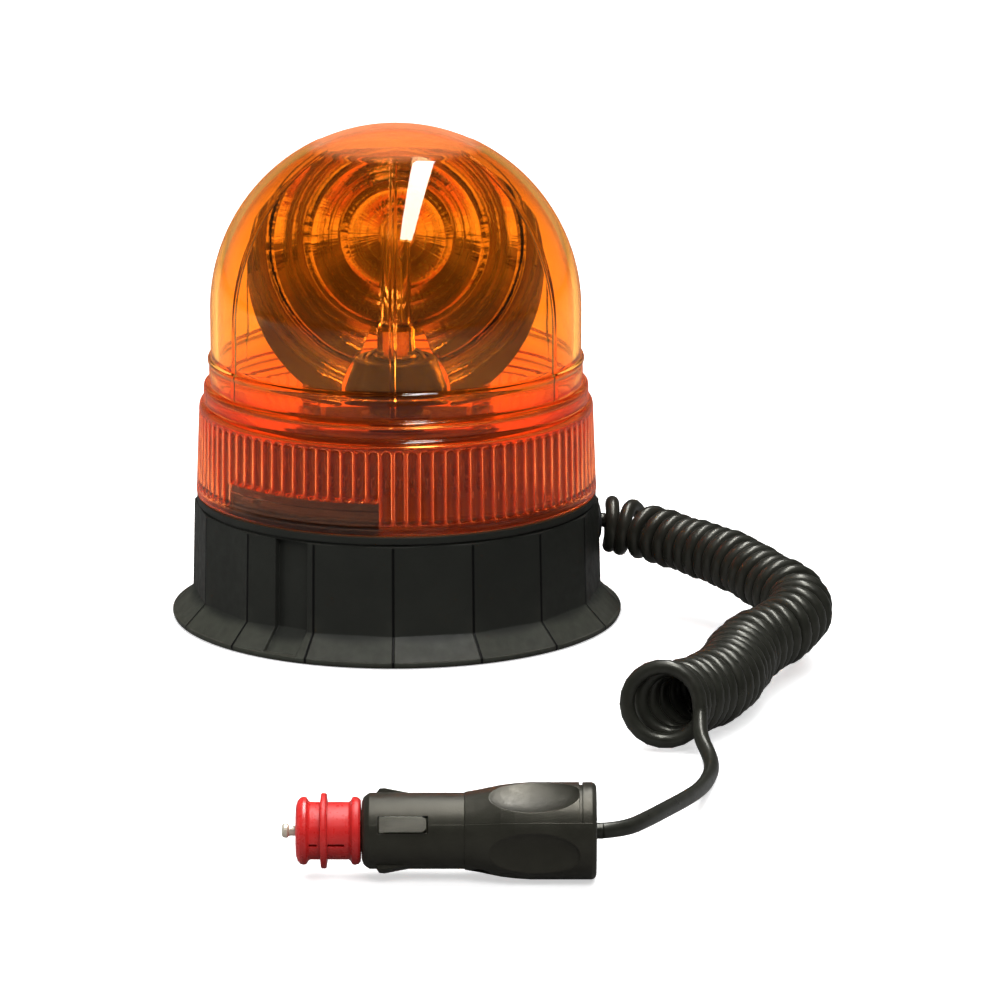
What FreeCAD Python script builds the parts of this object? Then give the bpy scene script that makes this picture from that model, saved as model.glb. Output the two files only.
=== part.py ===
import FreeCAD, Part
import Sketcher
import math
import os

# Rotating beacon with magnetic base, curly cord and 12 V plug.
# Millimetres, +Z up, origin at the centre of the foot, front of the lens towards -Y.

os.makedirs("parts", exist_ok=True)
V = FreeCAD.Vector
doc = FreeCAD.newDocument("rotating_beacon")
sheet = doc.addObject("Spreadsheet::Sheet", "Sizes")


# ---------------------------------------------------------------- sizes
class Size:
    """A number together with the sheet expression that it comes from."""

    def __init__(self, value, text):
        self.value = float(value)
        self.text = text

    def _pair(self, other, sign, value):
        o = size_of(other)
        return Size(value(self.value, o.value), "(%s %s %s)" % (self.text, sign, o.text))

    def __add__(self, other):
        return self._pair(other, "+", lambda a, b: a + b)

    def __sub__(self, other):
        return self._pair(other, "-", lambda a, b: a - b)

    def __mul__(self, other):
        return self._pair(other, "*", lambda a, b: a * b)

    def __truediv__(self, other):
        return self._pair(other, "/", lambda a, b: a / b)

    def __radd__(self, other):
        return size_of(other) + self

    def __rsub__(self, other):
        return size_of(other) - self

    def __rmul__(self, other):
        return size_of(other) * self


def size_of(x):
    return x if isinstance(x, Size) else Size(x, "%.6g" % float(x))


class Sizes:
    pass


S = Sizes()
row = 0


def size(alias, value, words):
    global row
    row += 1
    sheet.set("A%d" % row, words)
    sheet.set("B%d" % row, "%g" % value)
    sheet.setAlias("B%d" % row, alias)
    setattr(S, alias, Size(value, "Sizes." + alias))


size("foot_rad", 75.0, "radius of the flared foot")
size("foot_lip", 73.9, "radius of the foot at the ground")
size("wall_corner_low", 68.2, "corner radius of the faceted wall at its foot")
size("wall_corner_top", 67.4, "corner radius of the faceted wall at its top")
size("flare_top", 9.0, "height where the flare starts")
size("flare_low", 2.6, "height of the flare's outer edge")
size("facet_top", 38.6, "height of the facets' top")
size("deck_top", 42.0, "height of the housing's deck")
size("rim_rad", 66.5, "radius of the rim under the lens")
size("cavity_rad", 62.8, "inner radius of the housing")
size("plate_recess", 61.6, "radius of the recess for the bottom plate")
size("ledge_rad", 55.0, "inner radius of the ledge over the bottom plate")
size("plate_top", 10.1, "height of the bottom plate's upper face")
size("plate_thick", 1.5, "thickness of the bottom plate")
size("pad_thick", 1.6, "thickness of the foot pad")
size("pad_rad", 61.0, "radius of the foot pad")
size("magnet_out", 56.0, "outer radius of the ring magnet")
size("magnet_bore", 20.0, "inner radius of the ring magnet")
size("deck_bore", 49.5, "radius of the deck's opening")
size("spigot_out", 62.2, "outer radius of the lens spigot")
size("spigot_bore", 59.4, "inner radius of the lens spigot")
size("spigot_top", 46.4, "height of the lens spigot")
size("seal_mid", 61.9, "radius of the lens seal's centre circle")
size("seal_cord", 0.85, "radius of the lens seal's section")
size("lens_foot", 42.2, "height of the lens's lower edge")
size("lens_rad", 61.5, "outer radius of the lens")
size("lens_bore", 59.0, "inner radius of the lens")
size("crown_centre", 103.5, "height of the crown's centre")
size("skirt_low", 66.6, "outer radius of the skirt at its lower edge")
size("skirt_top", 65.3, "outer radius of the skirt at its upper edge")
size("skirt_bore", 63.1, "inner radius of the skirt")
size("step_three", 73.0, "height of the skirt's upper edge")
size("step_two", 79.0, "height of the middle step")
size("step_two_rad", 63.9, "radius of the middle step")
size("bead_mid", 87.0, "height of the upper bead")
size("rib_width", 1.9, "width of the lens ribs")
size("plate_rad", 56.5, "radius of the chassis plate")
size("chassis_thick", 1.5, "thickness of the chassis plate")
size("post_rad", 9.0, "outer radius of the centre post")
size("post_bore", 6.0, "inner radius of the centre post")
size("post_top", 75.0, "height of the centre post's top")
size("post_flange", 19.0, "radius of the centre post's flange")
size("holder_low", 17.0, "radius of the bulb holder's foot")
size("holder_top_rad", 13.5, "radius of the bulb holder's top")
size("holder_top", 86.5, "height of the bulb holder's top")
size("focus", 123.5, "height of the dish's optical axis and of the filament")
size("bulb_rad", 5.0, "radius of the bulb's glass")
size("bulb_base_rad", 6.3, "radius of the bulb's base")
size("bulb_base_top", 98.0, "height of the bulb base's top")
size("bulb_top", 135.0, "height of the bulb's top")
size("table_rad", 34.0, "radius of the turntable")
size("table_low", 61.7, "height of the turntable's underside")
size("table_top", 66.0, "height of the turntable's upper face")
size("hub_rad", 15.0, "radius of the turntable's hub")
size("bush_out", 11.0, "outer radius of the rotor bush")
size("bush_bore", 9.05, "bore radius of the rotor bush")
size("dish_rad", 49.0, "radius of the dish's outline")
size("dish_centre", 117.6, "height of the outline's centre")
size("bowl_rad", 53.6, "radius of the bowl before its outline is cut")
size("focal", 24.0, "focal length of the dish")
size("gear_module", 1.0, "module of the gear pair")
size("gear_teeth", 60, "teeth of the ring gear")
size("pinion_teeth", 12, "teeth of the drive pinion")
size("motor_rad", 12.2, "radius of the motor")
size("motor_angle", 150.0, "angle of the motor about the axis")
size("wire_dia", 4.7, "diameter of the supply cord")
size("coil_dia", 22.0, "outer diameter of the curly cord")
size("exit_angle", 11.25, "angle of the cord's exit")
size("exit_height", 28.0, "height of the cord's exit")
size("plug_x", -27.8, "position of the plug's tip along X")
size("plug_y", -298.5, "position of the plug's axis along Y")
size("plug_z", 14.1, "height of the plug's axis")
size("plug_roll", 26.0, "roll of the plug about its axis, in degrees")
size("plug_rad", 10.9, "radius of the plug's contact section")
size("grip_rad", 13.9, "radius of the plug's grip")
size("plug_front", 22.9, "distance from the tip to the plug shells' front")
size("plug_rear", 89.8, "distance from the tip to the plug shells' rear")
size("nose_rad", 6.0, "radius of the inner nose")
size("adapter_rad", 10.8, "radius of the adapter's middle flange")
doc.recompute()

FINAL = {}
STEPS = {"n": 0}


def name_of(tag):
    STEPS["n"] += 1
    return "%s_%03d" % (tag, STEPS["n"])


def bind(obj, prop, value):
    e = size_of(value)
    if "Sizes." in e.text:
        obj.setExpression(prop, e.text)


def put(obj, x=0, y=0, z=0, rotation=None):
    rotation = rotation or FreeCAD.Rotation()
    obj.Placement = FreeCAD.Placement(V(size_of(x).value, size_of(y).value, size_of(z).value), rotation)
    bind(obj, "Placement.Base.x", x)
    bind(obj, "Placement.Base.y", y)
    bind(obj, "Placement.Base.z", z)
    return obj


def cyl(radius, low, high, x=0, y=0, rotation=None):
    o = doc.addObject("Part::Cylinder", name_of("cyl"))
    o.Radius = size_of(radius).value
    height = size_of(high) - size_of(low)
    o.Height = height.value
    bind(o, "Radius", radius)
    bind(o, "Height", height)
    return put(o, x, y, low, rotation)


def cone(radius_low, radius_high, low, high, x=0, y=0):
    o = doc.addObject("Part::Cone", name_of("cone"))
    height = size_of(high) - size_of(low)
    o.Radius1 = size_of(radius_low).value
    o.Radius2 = size_of(radius_high).value
    o.Height = height.value
    bind(o, "Radius1", radius_low)
    bind(o, "Radius2", radius_high)
    bind(o, "Height", height)
    return put(o, x, y, low)


def ball(radius, x=0, y=0, z=0):
    o = doc.addObject("Part::Sphere", name_of("ball"))
    o.Radius = size_of(radius).value
    bind(o, "Radius", radius)
    return put(o, x, y, z)


def box(x0, x1, y0, y1, z0, z1):
    o = doc.addObject("Part::Box", name_of("box"))
    for prop, a, b in (("Length", x0, x1), ("Width", y0, y1), ("Height", z0, z1)):
        side = size_of(b) - size_of(a)
        setattr(o, prop, side.value)
        bind(o, prop, side)
    return put(o, x0, y0, z0)


def bar(angle, r0, r1, half, z0, z1, offset=0.0):
    """A box that runs out from the axis between two radii at an angle."""
    o = doc.addObject("Part::Box", name_of("bar"))
    r0, r1, z0, z1 = size_of(r0), size_of(r1), size_of(z0), size_of(z1)
    o.Length = (r1 - r0).value
    o.Width = 2.0 * size_of(half).value
    o.Height = (z1 - z0).value
    bind(o, "Length", r1 - r0)
    bind(o, "Width", size_of(half) * 2)
    bind(o, "Height", z1 - z0)
    a = math.radians(angle)
    side = offset - size_of(half).value
    o.Placement = FreeCAD.Placement(
        V(r0.value * math.cos(a) - side * math.sin(a), r0.value * math.sin(a) + side * math.cos(a), z0.value),
        FreeCAD.Rotation(V(0, 0, 1), angle))
    return o


def torus(ring, section, z):
    o = doc.addObject("Part::Torus", name_of("torus"))
    o.Radius1 = size_of(ring).value
    o.Radius2 = size_of(section).value
    bind(o, "Radius1", ring)
    bind(o, "Radius2", section)
    return put(o, 0, 0, z)


def fuse(*objs):
    if len(objs) == 1:
        return objs[0]
    o = doc.addObject("Part::MultiFuse", name_of("fuse"))
    o.Shapes = list(objs)
    o.Refine = True
    return o


def cut(base, *tools):
    o = doc.addObject("Part::Cut", name_of("cut"))
    o.Base = base
    o.Tool = tools[0] if len(tools) == 1 else fuse(*tools)
    o.Refine = True
    return o


def common(a, b):
    o = doc.addObject("Part::Common", name_of("common"))
    o.Base = a
    o.Tool = b
    o.Refine = True
    return o


def group(*objs):
    o = doc.addObject("Part::Compound", name_of("group"))
    o.Links = list(objs)
    return o


def plain(shape, tag):
    o = doc.addObject("Part::Feature", name_of(tag))
    o.Shape = shape
    return o


def node(name, obj, placement=None):
    obj.Label = name
    if placement is not None:
        obj.Placement = placement.multiply(obj.Placement)
    FINAL[name] = obj
    return obj


def turned(points, tag="turned", degrees=360.0):
    """A PartDesign body: a closed profile of (radius, height) points turned about Z."""
    body = doc.addObject("PartDesign::Body", name_of(tag))
    sk = body.newObject("Sketcher::SketchObject", name_of("profile"))
    plane = [f for f in body.Origin.OriginFeatures if f.Role == "XZ_Plane"][0]
    sk.AttachmentSupport = [(plane, "")]
    sk.MapMode = "FlatFace"
    pts = [(size_of(r), size_of(z)) for r, z in points]
    n = len(pts)
    geo = []
    for i in range(n):
        a, b = pts[i], pts[(i + 1) % n]
        geo.append(Part.LineSegment(V(a[0].value, a[1].value, 0), V(b[0].value, b[1].value, 0)))
    sk.addGeometry(geo, False)
    cons, texts = [], []
    for i in range(n):
        cons.append(Sketcher.Constraint("Coincident", i, 2, (i + 1) % n, 1))
        texts.append(None)
        for kind, e, axis in (("DistanceX", pts[i][0], -2), ("DistanceY", pts[i][1], -1)):
            if abs(e.value) < 1e-9:
                cons.append(Sketcher.Constraint("PointOnObject", i, 1, axis))
                texts.append(None)
            else:
                cons.append(Sketcher.Constraint(kind, -1, 1, i, 1, e.value))
                texts.append(e.text if "Sizes." in e.text else None)
    first = sk.addConstraint(cons)
    offset = first[0] if isinstance(first, (list, tuple)) else 0
    for k, t in enumerate(texts):
        if t:
            sk.setExpression("Constraints[%d]" % (k + offset), t)
    rev = body.newObject("PartDesign::Revolution", name_of("turn"))
    rev.Profile = sk
    rev.ReferenceAxis = (sk, ["V_Axis"])
    rev.Angle = degrees
    body.Tip = rev
    return body


def route_wire(points, tag, wire_dia, smallest):
    """Straight runs joined by tangent arcs, each as large as its two runs allow."""
    pts = [V(*p) for p in points]
    edges, here, length = [], pts[0], 0.0
    for i in range(1, len(pts) - 1):
        a, b = pts[i] - pts[i - 1], pts[i + 1] - pts[i]
        la, lb = a.Length, b.Length
        turn = a.getAngle(b)
        back = 0.45 * min(la, lb)
        radius = back / math.tan(turn / 2.0)
        ua, ub = a.normalize(), b.normalize()
        start, end = pts[i] - ua * back, pts[i] + ub * back
        toward = (ub - ua).normalize()
        centre = pts[i] + toward * (radius / math.cos(turn / 2.0))
        middle = centre - toward * radius
        edges.append(Part.LineSegment(here, start).toShape())
        edges.append(Part.Arc(start, middle, end).toShape())
        here = end
        smallest.append(radius)
        print("%s point %d: runs %.1f and %.1f, turn %.1f degrees, radius %.1f (%.1f wire diameters)"
              % (tag, i, la, lb, math.degrees(turn), radius, radius / wire_dia))
    edges.append(Part.LineSegment(here, pts[-1]).toShape())
    return Part.Wire(edges)


def tube(points, dia, tag, wire_dia=None):
    smallest = []
    wire = route_wire(points, tag, wire_dia or dia, smallest)
    first = V(*points[1]) - V(*points[0])
    ring = Part.Wire([Part.Circle(V(*points[0]), first, dia / 2.0).toShape()])
    shape = wire.makePipeShell([ring], True, False)
    expected = math.pi * dia * dia / 4.0 * wire.Length
    print("%s: length %.1f mm, volume %.1f, section times length %.1f" % (tag, wire.Length, shape.Volume, expected))
    if abs(shape.Volume - expected) > 0.01 * expected:
        raise RuntimeError(tag + ": the tube's volume is off")
    return plain(shape, tag)


def wire_run(points, dia, tag):
    """A short insulated wire inside the housing or the plug."""
    wire = route_wire(points, tag, dia, [])
    first = V(*points[1]) - V(*points[0])
    ring = Part.Wire([Part.Circle(V(*points[0]), first, dia / 2.0).toShape()])
    return plain(wire.makePipeShell([ring], True, False), tag)


def helix(radius, pitch, height, wire_rad, x=0, y=0, z=0):
    path = Part.makeHelix(pitch, height, radius)
    ring = Part.Wire([Part.Circle(V(radius, 0, 0), V(0, 1, pitch / (2 * math.pi * radius)), wire_rad).toShape()])
    shape = Part.Wire(path).makePipeShell([ring], True, True)
    shape.translate(V(x, y, z))
    return shape


def polar(r, angle):
    a = math.radians(angle)
    return r * math.cos(a), r * math.sin(a)


# ---------------------------------------------------------------- housing
def polygon(corner_radius, z):
    o = doc.addObject("Part::RegularPolygon", name_of("ngon"))
    o.Polygon = 16
    o.Circumradius = size_of(corner_radius).value
    bind(o, "Circumradius", corner_radius)
    return put(o, 0, 0, z)


def facets(r0, z0, r1, z1):
    o = doc.addObject("Part::Loft", name_of("facets"))
    o.Sections = [polygon(r0, z0), polygon(r1, z1)]
    o.Solid = True
    o.Ruled = True
    return o


flare = common(
    facets(75.6, S.flare_low - 1.0, S.wall_corner_low, S.flare_top),
    cyl(S.foot_rad, 0, S.flare_top))
wall = facets(S.wall_corner_low, S.flare_top, S.wall_corner_top, S.facet_top)
lip = turned([(0, 0), (S.foot_lip, 0), (S.foot_lip + 0.75, 0.4), (S.foot_rad, 1.2), (S.foot_rad, 2.0), (0, 2.0)], "lip")
rim = turned([(0, S.facet_top - 0.4), (65.8, S.facet_top - 0.4), (65.8, S.facet_top + 0.5), (S.rim_rad, S.facet_top + 0.8),
              (S.rim_rad, S.deck_top - 0.4), (S.rim_rad - 0.4, S.deck_top), (S.spigot_out, S.deck_top),
              (S.spigot_out, 43.3), (60.95, 43.3), (60.95, 45.3), (S.spigot_out, 45.3),
              (S.spigot_out, S.spigot_top - 0.4), (S.spigot_out - 0.4, S.spigot_top), (S.spigot_bore, S.spigot_top),
              (S.spigot_bore, S.deck_top), (0, S.deck_top)], "rim")
hollow = turned([(0, -1), (S.plate_recess, -1), (S.plate_recess, S.plate_top), (S.ledge_rad, S.plate_top),
                 (S.ledge_rad, 13), (S.cavity_rad, 13), (S.cavity_rad, 37.6), (S.deck_bore, 37.6),
                 (S.deck_bore, 48), (0, 48)], "hollow")
channel = cut(bar(-123.75, 60.0, 80.0, 6.3, 2.0, 38.4, offset=4.4),
              facets(75.6 - 2.0, S.flare_low - 1.0, S.wall_corner_low - 2.0, S.flare_top),
              facets(S.wall_corner_low - 2.0, S.flare_top, S.wall_corner_top - 2.0, S.facet_top))
gx, gy = polar(1.0, 11.25)
exit_turn = FreeCAD.Rotation(V(0, 0, 1), V(gx, gy, 0))
exit_hole = cyl(5.1, 0, 12)
exit_hole.Placement = FreeCAD.Placement(V(gx * 60, gy * 60, 28.0), exit_turn)
clamp_holes = [cyl(1.16, 36.0, 40.0, gx * 55.6 - gy * x, gy * 55.6 + gx * x) for x in (-4.6, 4.6)]
chassis_angles = (90.0, 210.0, 330.0)
bosses, boss_holes = [], []
for a in chassis_angles:
    bx, by = polar(53.8, a)
    bosses.append(cyl(3.8, 24.0, S.deck_top, bx, by))
    boss_holes.append(cyl(1.5, 26.0, 45.0, bx, by))
plate_angles = (45.0, 135.0, 225.0, 315.0)
plate_bosses, plate_holes = [], []
for a in plate_angles:
    bx, by = polar(58.4, a)
    plate_bosses.append(cyl(3.4, S.plate_top, 21.0, bx, by))
    plate_holes.append(cyl(1.5, 5.0, 19.0, bx, by))
shell = cut(fuse(flare, wall, lip, rim), hollow, exit_hole, channel)
housing = cut(fuse(shell, *(bosses + plate_bosses)), *(boss_holes + plate_holes + clamp_holes))
node("base_housing", housing)

# bottom: steel plate, ring magnet, pad and screws
plate_cuts = [cyl(1.7, 5.0, 12.0, *polar(58.4, a)) for a in plate_angles]
node("base_plate", cut(cyl(S.plate_recess - 0.3, S.plate_top - S.plate_thick, S.plate_top), *plate_cuts))
node("ring_magnet", cut(cyl(S.magnet_out, S.pad_thick, S.plate_top - S.plate_thick),
                        cyl(S.magnet_bore, 0, 12),
                        *[cyl(4.3, 0, 12, *polar(58.4, a)) for a in plate_angles]))
node("foot_pad", turned([(0, 0), (S.pad_rad - 0.4, 0), (S.pad_rad, 0.4), (S.pad_rad, S.pad_thick), (0, S.pad_thick)], "pad"))


def screw(x, y, head_z, up, shank, head_rad, head_h, length, slot=True):
    """A pan-head screw; up is +1 when the head is at the top."""
    if up > 0:
        head = cyl(head_rad, head_z, head_z + head_h, x, y)
        rod = cyl(shank, head_z - length, head_z + 0.1, x, y)
        gap = box(x - 0.35, x + 0.35, y - head_rad - 1, y + head_rad + 1, head_z + head_h * 0.5, head_z + head_h + 1)
    else:
        head = cyl(head_rad, head_z - head_h, head_z, x, y)
        rod = cyl(shank, head_z - 0.1, head_z + length, x, y)
        gap = box(x - 0.35, x + 0.35, y - head_rad - 1, y + head_rad + 1, head_z - head_h - 1, head_z - head_h * 0.5)
    whole = fuse(head, rod)
    return cut(whole, gap) if slot else whole


plate_z = (S.plate_top - S.plate_thick).value
node("base_screws", group(*[screw(*polar(58.4, a), plate_z, -1, 1.45, 2.9, 1.9, 9.0) for a in plate_angles]))

# ---------------------------------------------------------------- chassis
chassis_z = S.deck_top
chassis_up = S.deck_top + S.chassis_thick
mx, my = polar(36.0, 150.0)
ux, uy = polar(1.0, 240.0)
motor_screw_xy = [(mx + ux * 8.0 * k, my + uy * 8.0 * k) for k in (-1, 1)]
spacer_xy = [(30.0, -20.0), (30.0, 14.0)]
post_screw_angles = (30.0, 150.0, 270.0)
post_screw_xy = [polar(16.0, a) for a in post_screw_angles]
holes = [cyl(1.7, 40, 46, *polar(53.8, a)) for a in chassis_angles]
holes += [cyl(3.4, 40, 46, mx, my)] + [cyl(1.2, 40, 46, x, y) for x, y in motor_screw_xy]
holes += [cyl(1.3, 40, 46, x, y) for x, y in spacer_xy] + [cyl(1.4, 40, 46, x, y) for x, y in post_screw_xy]
holes += [cyl(S.post_bore, 40, 46)]
node("chassis_plate", cut(cyl(S.plate_rad, chassis_z, chassis_up), *holes))
node("chassis_screws", group(*[screw(*polar(53.8, a), chassis_up.value, 1, 1.45, 2.8, 1.8, 14.0) for a in chassis_angles]))

post = turned([(S.post_bore, chassis_up), (S.post_flange, chassis_up), (S.post_flange, chassis_up + 2.3),
               (13.4, chassis_up + 2.3), (13.4, chassis_up + 3.5), (S.post_rad, chassis_up + 3.5), (S.post_rad, 67.2), (8.3, 67.2), (8.3, 68.4),
               (S.post_rad, 68.4), (S.post_rad, S.post_top), (S.post_bore, S.post_top)], "post")
node("centre_post", cut(post, *[cyl(1.4, 40, 50, x, y) for x, y in post_screw_xy]))
node("post_screws", group(*[screw(x, y, (chassis_up + 2.3).value, 1, 1.2, 2.3, 1.5, 5.6) for x, y in post_screw_xy]))

# bulb holder, a tapered block on the post with the bulb's socket in it
holder = turned([(6.5, S.post_top + 1.2), (S.post_bore - 0.1, S.post_top + 1.2), (S.post_bore - 0.1, S.post_top - 3.0),
                 (4.6, S.post_top - 3.0), (4.6, S.post_top + 0.0), (4.6, S.post_top + 4.0), (6.45, S.post_top + 4.0),
                 (6.45, S.holder_top), (11.0, S.holder_top), (11.0, S.holder_top + 0.6), (S.holder_top_rad - 0.6, S.holder_top + 0.6),
                 (S.holder_top_rad, S.holder_top), (S.holder_low, S.post_top + 1.6), (S.holder_low, S.post_top),
                 (6.5, S.post_top)], "holder")
node("bulb_holder", holder)
node("bulb_base", turned([(0, 79.2), (6.3, 79.2), (6.3, 86.7), (7.6, 86.7), (7.6, 88.0), (S.bulb_base_rad, 88.0),
                          (S.bulb_base_rad, 96.6), (5.7, S.bulb_base_top), (S.bulb_rad + 0.05, S.bulb_base_top),
                          (S.bulb_rad + 0.05, 92.0), (0, 92.0)], "bulb_base"))
glass_out = fuse(cyl(S.bulb_rad, 92.2, S.bulb_top - S.bulb_rad), ball(S.bulb_rad, 0, 0, S.bulb_top - S.bulb_rad))
glass_in = fuse(cyl(S.bulb_rad - 0.9, 98.5, S.bulb_top - S.bulb_rad), ball(S.bulb_rad - 0.9, 0, 0, S.bulb_top - S.bulb_rad))
node("bulb_glass", cut(glass_out, glass_in))
filament = plain(helix(0.75, 0.7, 5.6, 0.16, 0, 0, 123.5 - 2.8), "filament")
sup_a = wire_run([(0.75, 0.0, 120.5), (1.9, 0.3, 118.6), (1.9, 0.0, 98.7)], 0.5, "support_a")
sup_b = wire_run([(0.75, 0.0, 126.5), (-1.0, 0.3, 128.2), (-2.9, 0.0, 126.6), (-3.1, 0.1, 122.0), (-2.2, 0.0, 98.7)], 0.5, "support_b")
node("bulb_filament", group(filament, sup_a, sup_b))
clip_path = [(-9.6, -6.0, 88.35), (-8.4, 2.0, 88.35), (-5.6, 8.4, 88.4), (0.0, 9.3, 88.35), (5.6, 8.4, 88.4), (8.4, 2.0, 88.35), (9.6, -6.0, 88.35)]
node("bulb_clip", wire_run(clip_path, 0.9, "clip"))
node("holder_contact", fuse(cyl(2.2, 78.0, 79.2), cyl(1.0, 73.5, 78.1)))

# ---------------------------------------------------------------- rotor
table = turned([(S.bush_out, 48.0), (S.hub_rad, 48.0), (S.hub_rad, S.table_low), (S.table_rad - 0.6, S.table_low),
                (S.table_rad, S.table_low + 0.6), (S.table_rad, S.table_top - 1.2), (S.table_rad - 1.2, S.table_top),
                (S.hub_rad + 1.5, S.table_top), (S.hub_rad, S.table_top + 0.8), (S.bush_out, S.table_top + 0.8)], "table")
foot_screw_xy = [(-28.0, -3.0), (28.0, -3.0)]
rivet_xy = [polar(22.0, a) for a in (90.0, 210.0, 330.0)]
node("turntable", cut(table, *([cyl(1.3, 60, 68, x, y) for x, y in foot_screw_xy] + [cyl(1.25, 60, 68, x, y) for x, y in rivet_xy])))
node("rotor_bush", turned([(S.bush_bore, 47.7), (12.4, 47.7), (12.4, 48.0), (S.bush_out, 48.0),
                           (S.bush_out, S.table_top + 1.0), (S.bush_bore, S.table_top + 1.0)], "bush"))
node("thrust_washer", cut(cyl(13.6, 47.05, 47.55), cyl(S.post_rad + 0.1, 46, 49)))
node("retaining_clip", cut(cyl(11.6, 67.35, 68.25), cyl(8.35, 66, 70), box(-1.6, 1.6, 5.0, 13.0, 66.0, 70.0)))


def gear_outline(module, teeth, phase_deg, backlash, addendum, dedendum, pressure=20.0):
    """Closed outline of an involute spur gear, one tooth centred at phase_deg."""
    alpha = math.radians(pressure)
    rp = module * teeth / 2.0
    rb = rp * math.cos(alpha)
    ra, rf = rp + addendum, rp - dedendum

    def roll(r):
        if r <= rb:
            return 0.0
        a = math.acos(rb / r)
        return math.tan(a) - a

    half = (math.pi * module / 2.0 - backlash) / 2.0 / rp + roll(rp)
    radii = [max(rb, rf + 0.05) + (ra - max(rb, rf + 0.05)) * k / 4.0 for k in range(5)]
    pts = []
    for t in range(int(teeth)):
        mid = math.radians(phase_deg) + 2.0 * math.pi * t / teeth
        left = [(r, mid - (half - roll(r))) for r in radii]
        right = [(r, mid + (half - roll(r))) for r in reversed(radii)]
        root = [(rf, mid - half)] if rf < radii[0] - 0.06 else []
        root_b = [(rf, mid + half)] if rf < radii[0] - 0.06 else []
        pts += root + left + right + root_b
    xy = [V(r * math.cos(a), r * math.sin(a), 0) for r, a in pts]
    return Part.makePolygon(xy + [xy[0]])


def gear_solid(module, teeth, phase, backlash, addendum, dedendum, x, y, z0, z1):
    face = Part.Face(gear_outline(module, teeth, phase, backlash, addendum, dedendum))
    solid = face.extrude(V(0, 0, z1 - z0))
    solid.translate(V(x, y, z0))
    return solid


module = S.gear_module.value
big_n, small_n = int(S.gear_teeth.value), int(S.pinion_teeth.value)
big = plain(gear_solid(module, big_n, 0.0, 0.22, 0.85, 1.2, 0, 0, 56.2, S.table_low.value), "ring_gear_blank")
node("ring_gear", cut(big, cyl(S.hub_rad, 50, 70), *[cyl(1.25, 50, 70, x, y) for x, y in rivet_xy]))
node("gear_rivets", group(*[fuse(cyl(1.22, 55.4, S.table_top + 0.3, x, y), cyl(2.2, 55.2, 56.2, x, y),
                                 cyl(2.2, S.table_top, S.table_top + 0.9, x, y)) for x, y in rivet_xy]))

# stepped dish: surface position along Y for a distance r from the optical axis
F = S.focal.value
RD = S.bowl_rad.value
rings = [0.0, 4.8, 16.4, 28.4, 40.6, RD]


def dish(r):
    return F - r * r / (4.0 * F)


front = []
for k in range(len(rings) - 1):
    ra_, rb_ = rings[k], rings[k + 1]
    for j in range(7):
        t = j / 6.0
        r = ra_ + (rb_ - ra_) * t
        lift = (1.1 * (1 - t) - 0.9 * t - 0.5 * t * (1 - t)) if k > 0 else -0.4
        front.append((r, dish(r) + lift))
back = [(RD * (1 - k / 8.0), dish(RD * (1 - k / 8.0)) + 2.6 + 0.0 * k) for k in range(9)]
OFF = 80.0


def lathe(profile, tag):
    """Turn a profile of (radius, position along Y) about the optical axis."""
    pts = [V(r, 0, s + OFF) for r, s in profile]
    face = Part.Face(Part.makePolygon(pts + [pts[0]]))
    solid = face.revolve(V(0, 0, 0), V(0, 0, 1), 360)
    o = plain(solid, tag)
    o.Placement = FreeCAD.Placement(V(0, -OFF, S.focus.value), FreeCAD.Rotation(V(1, 0, 0), -90))
    return o


edge = [(RD + 0.9, front[-1][1] + 0.2), (RD + 0.9, back[0][1])]
bowl = lathe(front + edge + back, "dish")
before = lathe([(0, -70)] + [(0, front[0][1])] + [(r, s) for r, s in front if r > 0] + [(RD + 3, front[-1][1]), (RD + 3, -70)], "before")
room = common(
    fuse(cyl(55.3, 60, S.crown_centre), ball(55.3, 0, 0, S.crown_centre)),
    box(-60, 60, -60, 60, 60.0, 155.0))
webs = [box(s * 28.0 - 3.0, s * 28.0 + 3.0, -2.5, 14.0, S.table_top, 93.0) for s in (-1, 1)]
toes = [box(s * 28.0 - 4.5, s * 28.0 + 4.5, -9.0, 10.0, S.table_top, S.table_top + 2.6) for s in (-1, 1)]
limbs = common(fuse(*webs), lathe([(0, 40)] + [(0, front[0][1] + 0.8)] + [(r, s + 0.8) for r, s in front if r > 0]
                                  + [(RD + 14, dish(RD) - 9.0), (RD + 14, 40)], "behind"))
# the cut-out under the bulb: a trapezoid and the room that the fixed holder needs all the way round
trap = Part.Face(Part.makePolygon([V(-18.4, -60, 64), V(18.4, -60, 64), V(18.4, -60, 73), V(7.6, -60, 95.5), V(-7.6, -60, 95.5), V(-18.4, -60, 73), V(-18.4, -60, 64)])).extrude(V(0, 75, 0))
clear = turned([(0, 66.9), (18.2, 66.9), (18.2, 76.8), (14.9, 87.6), (11.2, 90.0), (8.4, 92.0), (7.2, 100.0), (6.4, 140.0), (0, 140.0)], "clear")
outline = plain(Part.makeCylinder(S.dish_rad.value, 140, V(0, -70, S.dish_centre.value), V(0, 1, 0)), "outline")
dish_body = cut(fuse(common(common(bowl, room), outline), limbs), plain(trap, "trapezoid"), clear)
reflector = cut(fuse(dish_body, *toes), *([cyl(1.3, 60, 70, x, y) for x, y in foot_screw_xy] + [cyl(3.3, S.table_top + 2.6, 74, x, y) for x, y in foot_screw_xy]))
node("reflector", reflector)
node("reflector_screws", group(*[screw(x, y, (S.table_top + 2.6).value, 1, 1.25, 2.6, 1.8, 6.0) for x, y in foot_screw_xy]))

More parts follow.
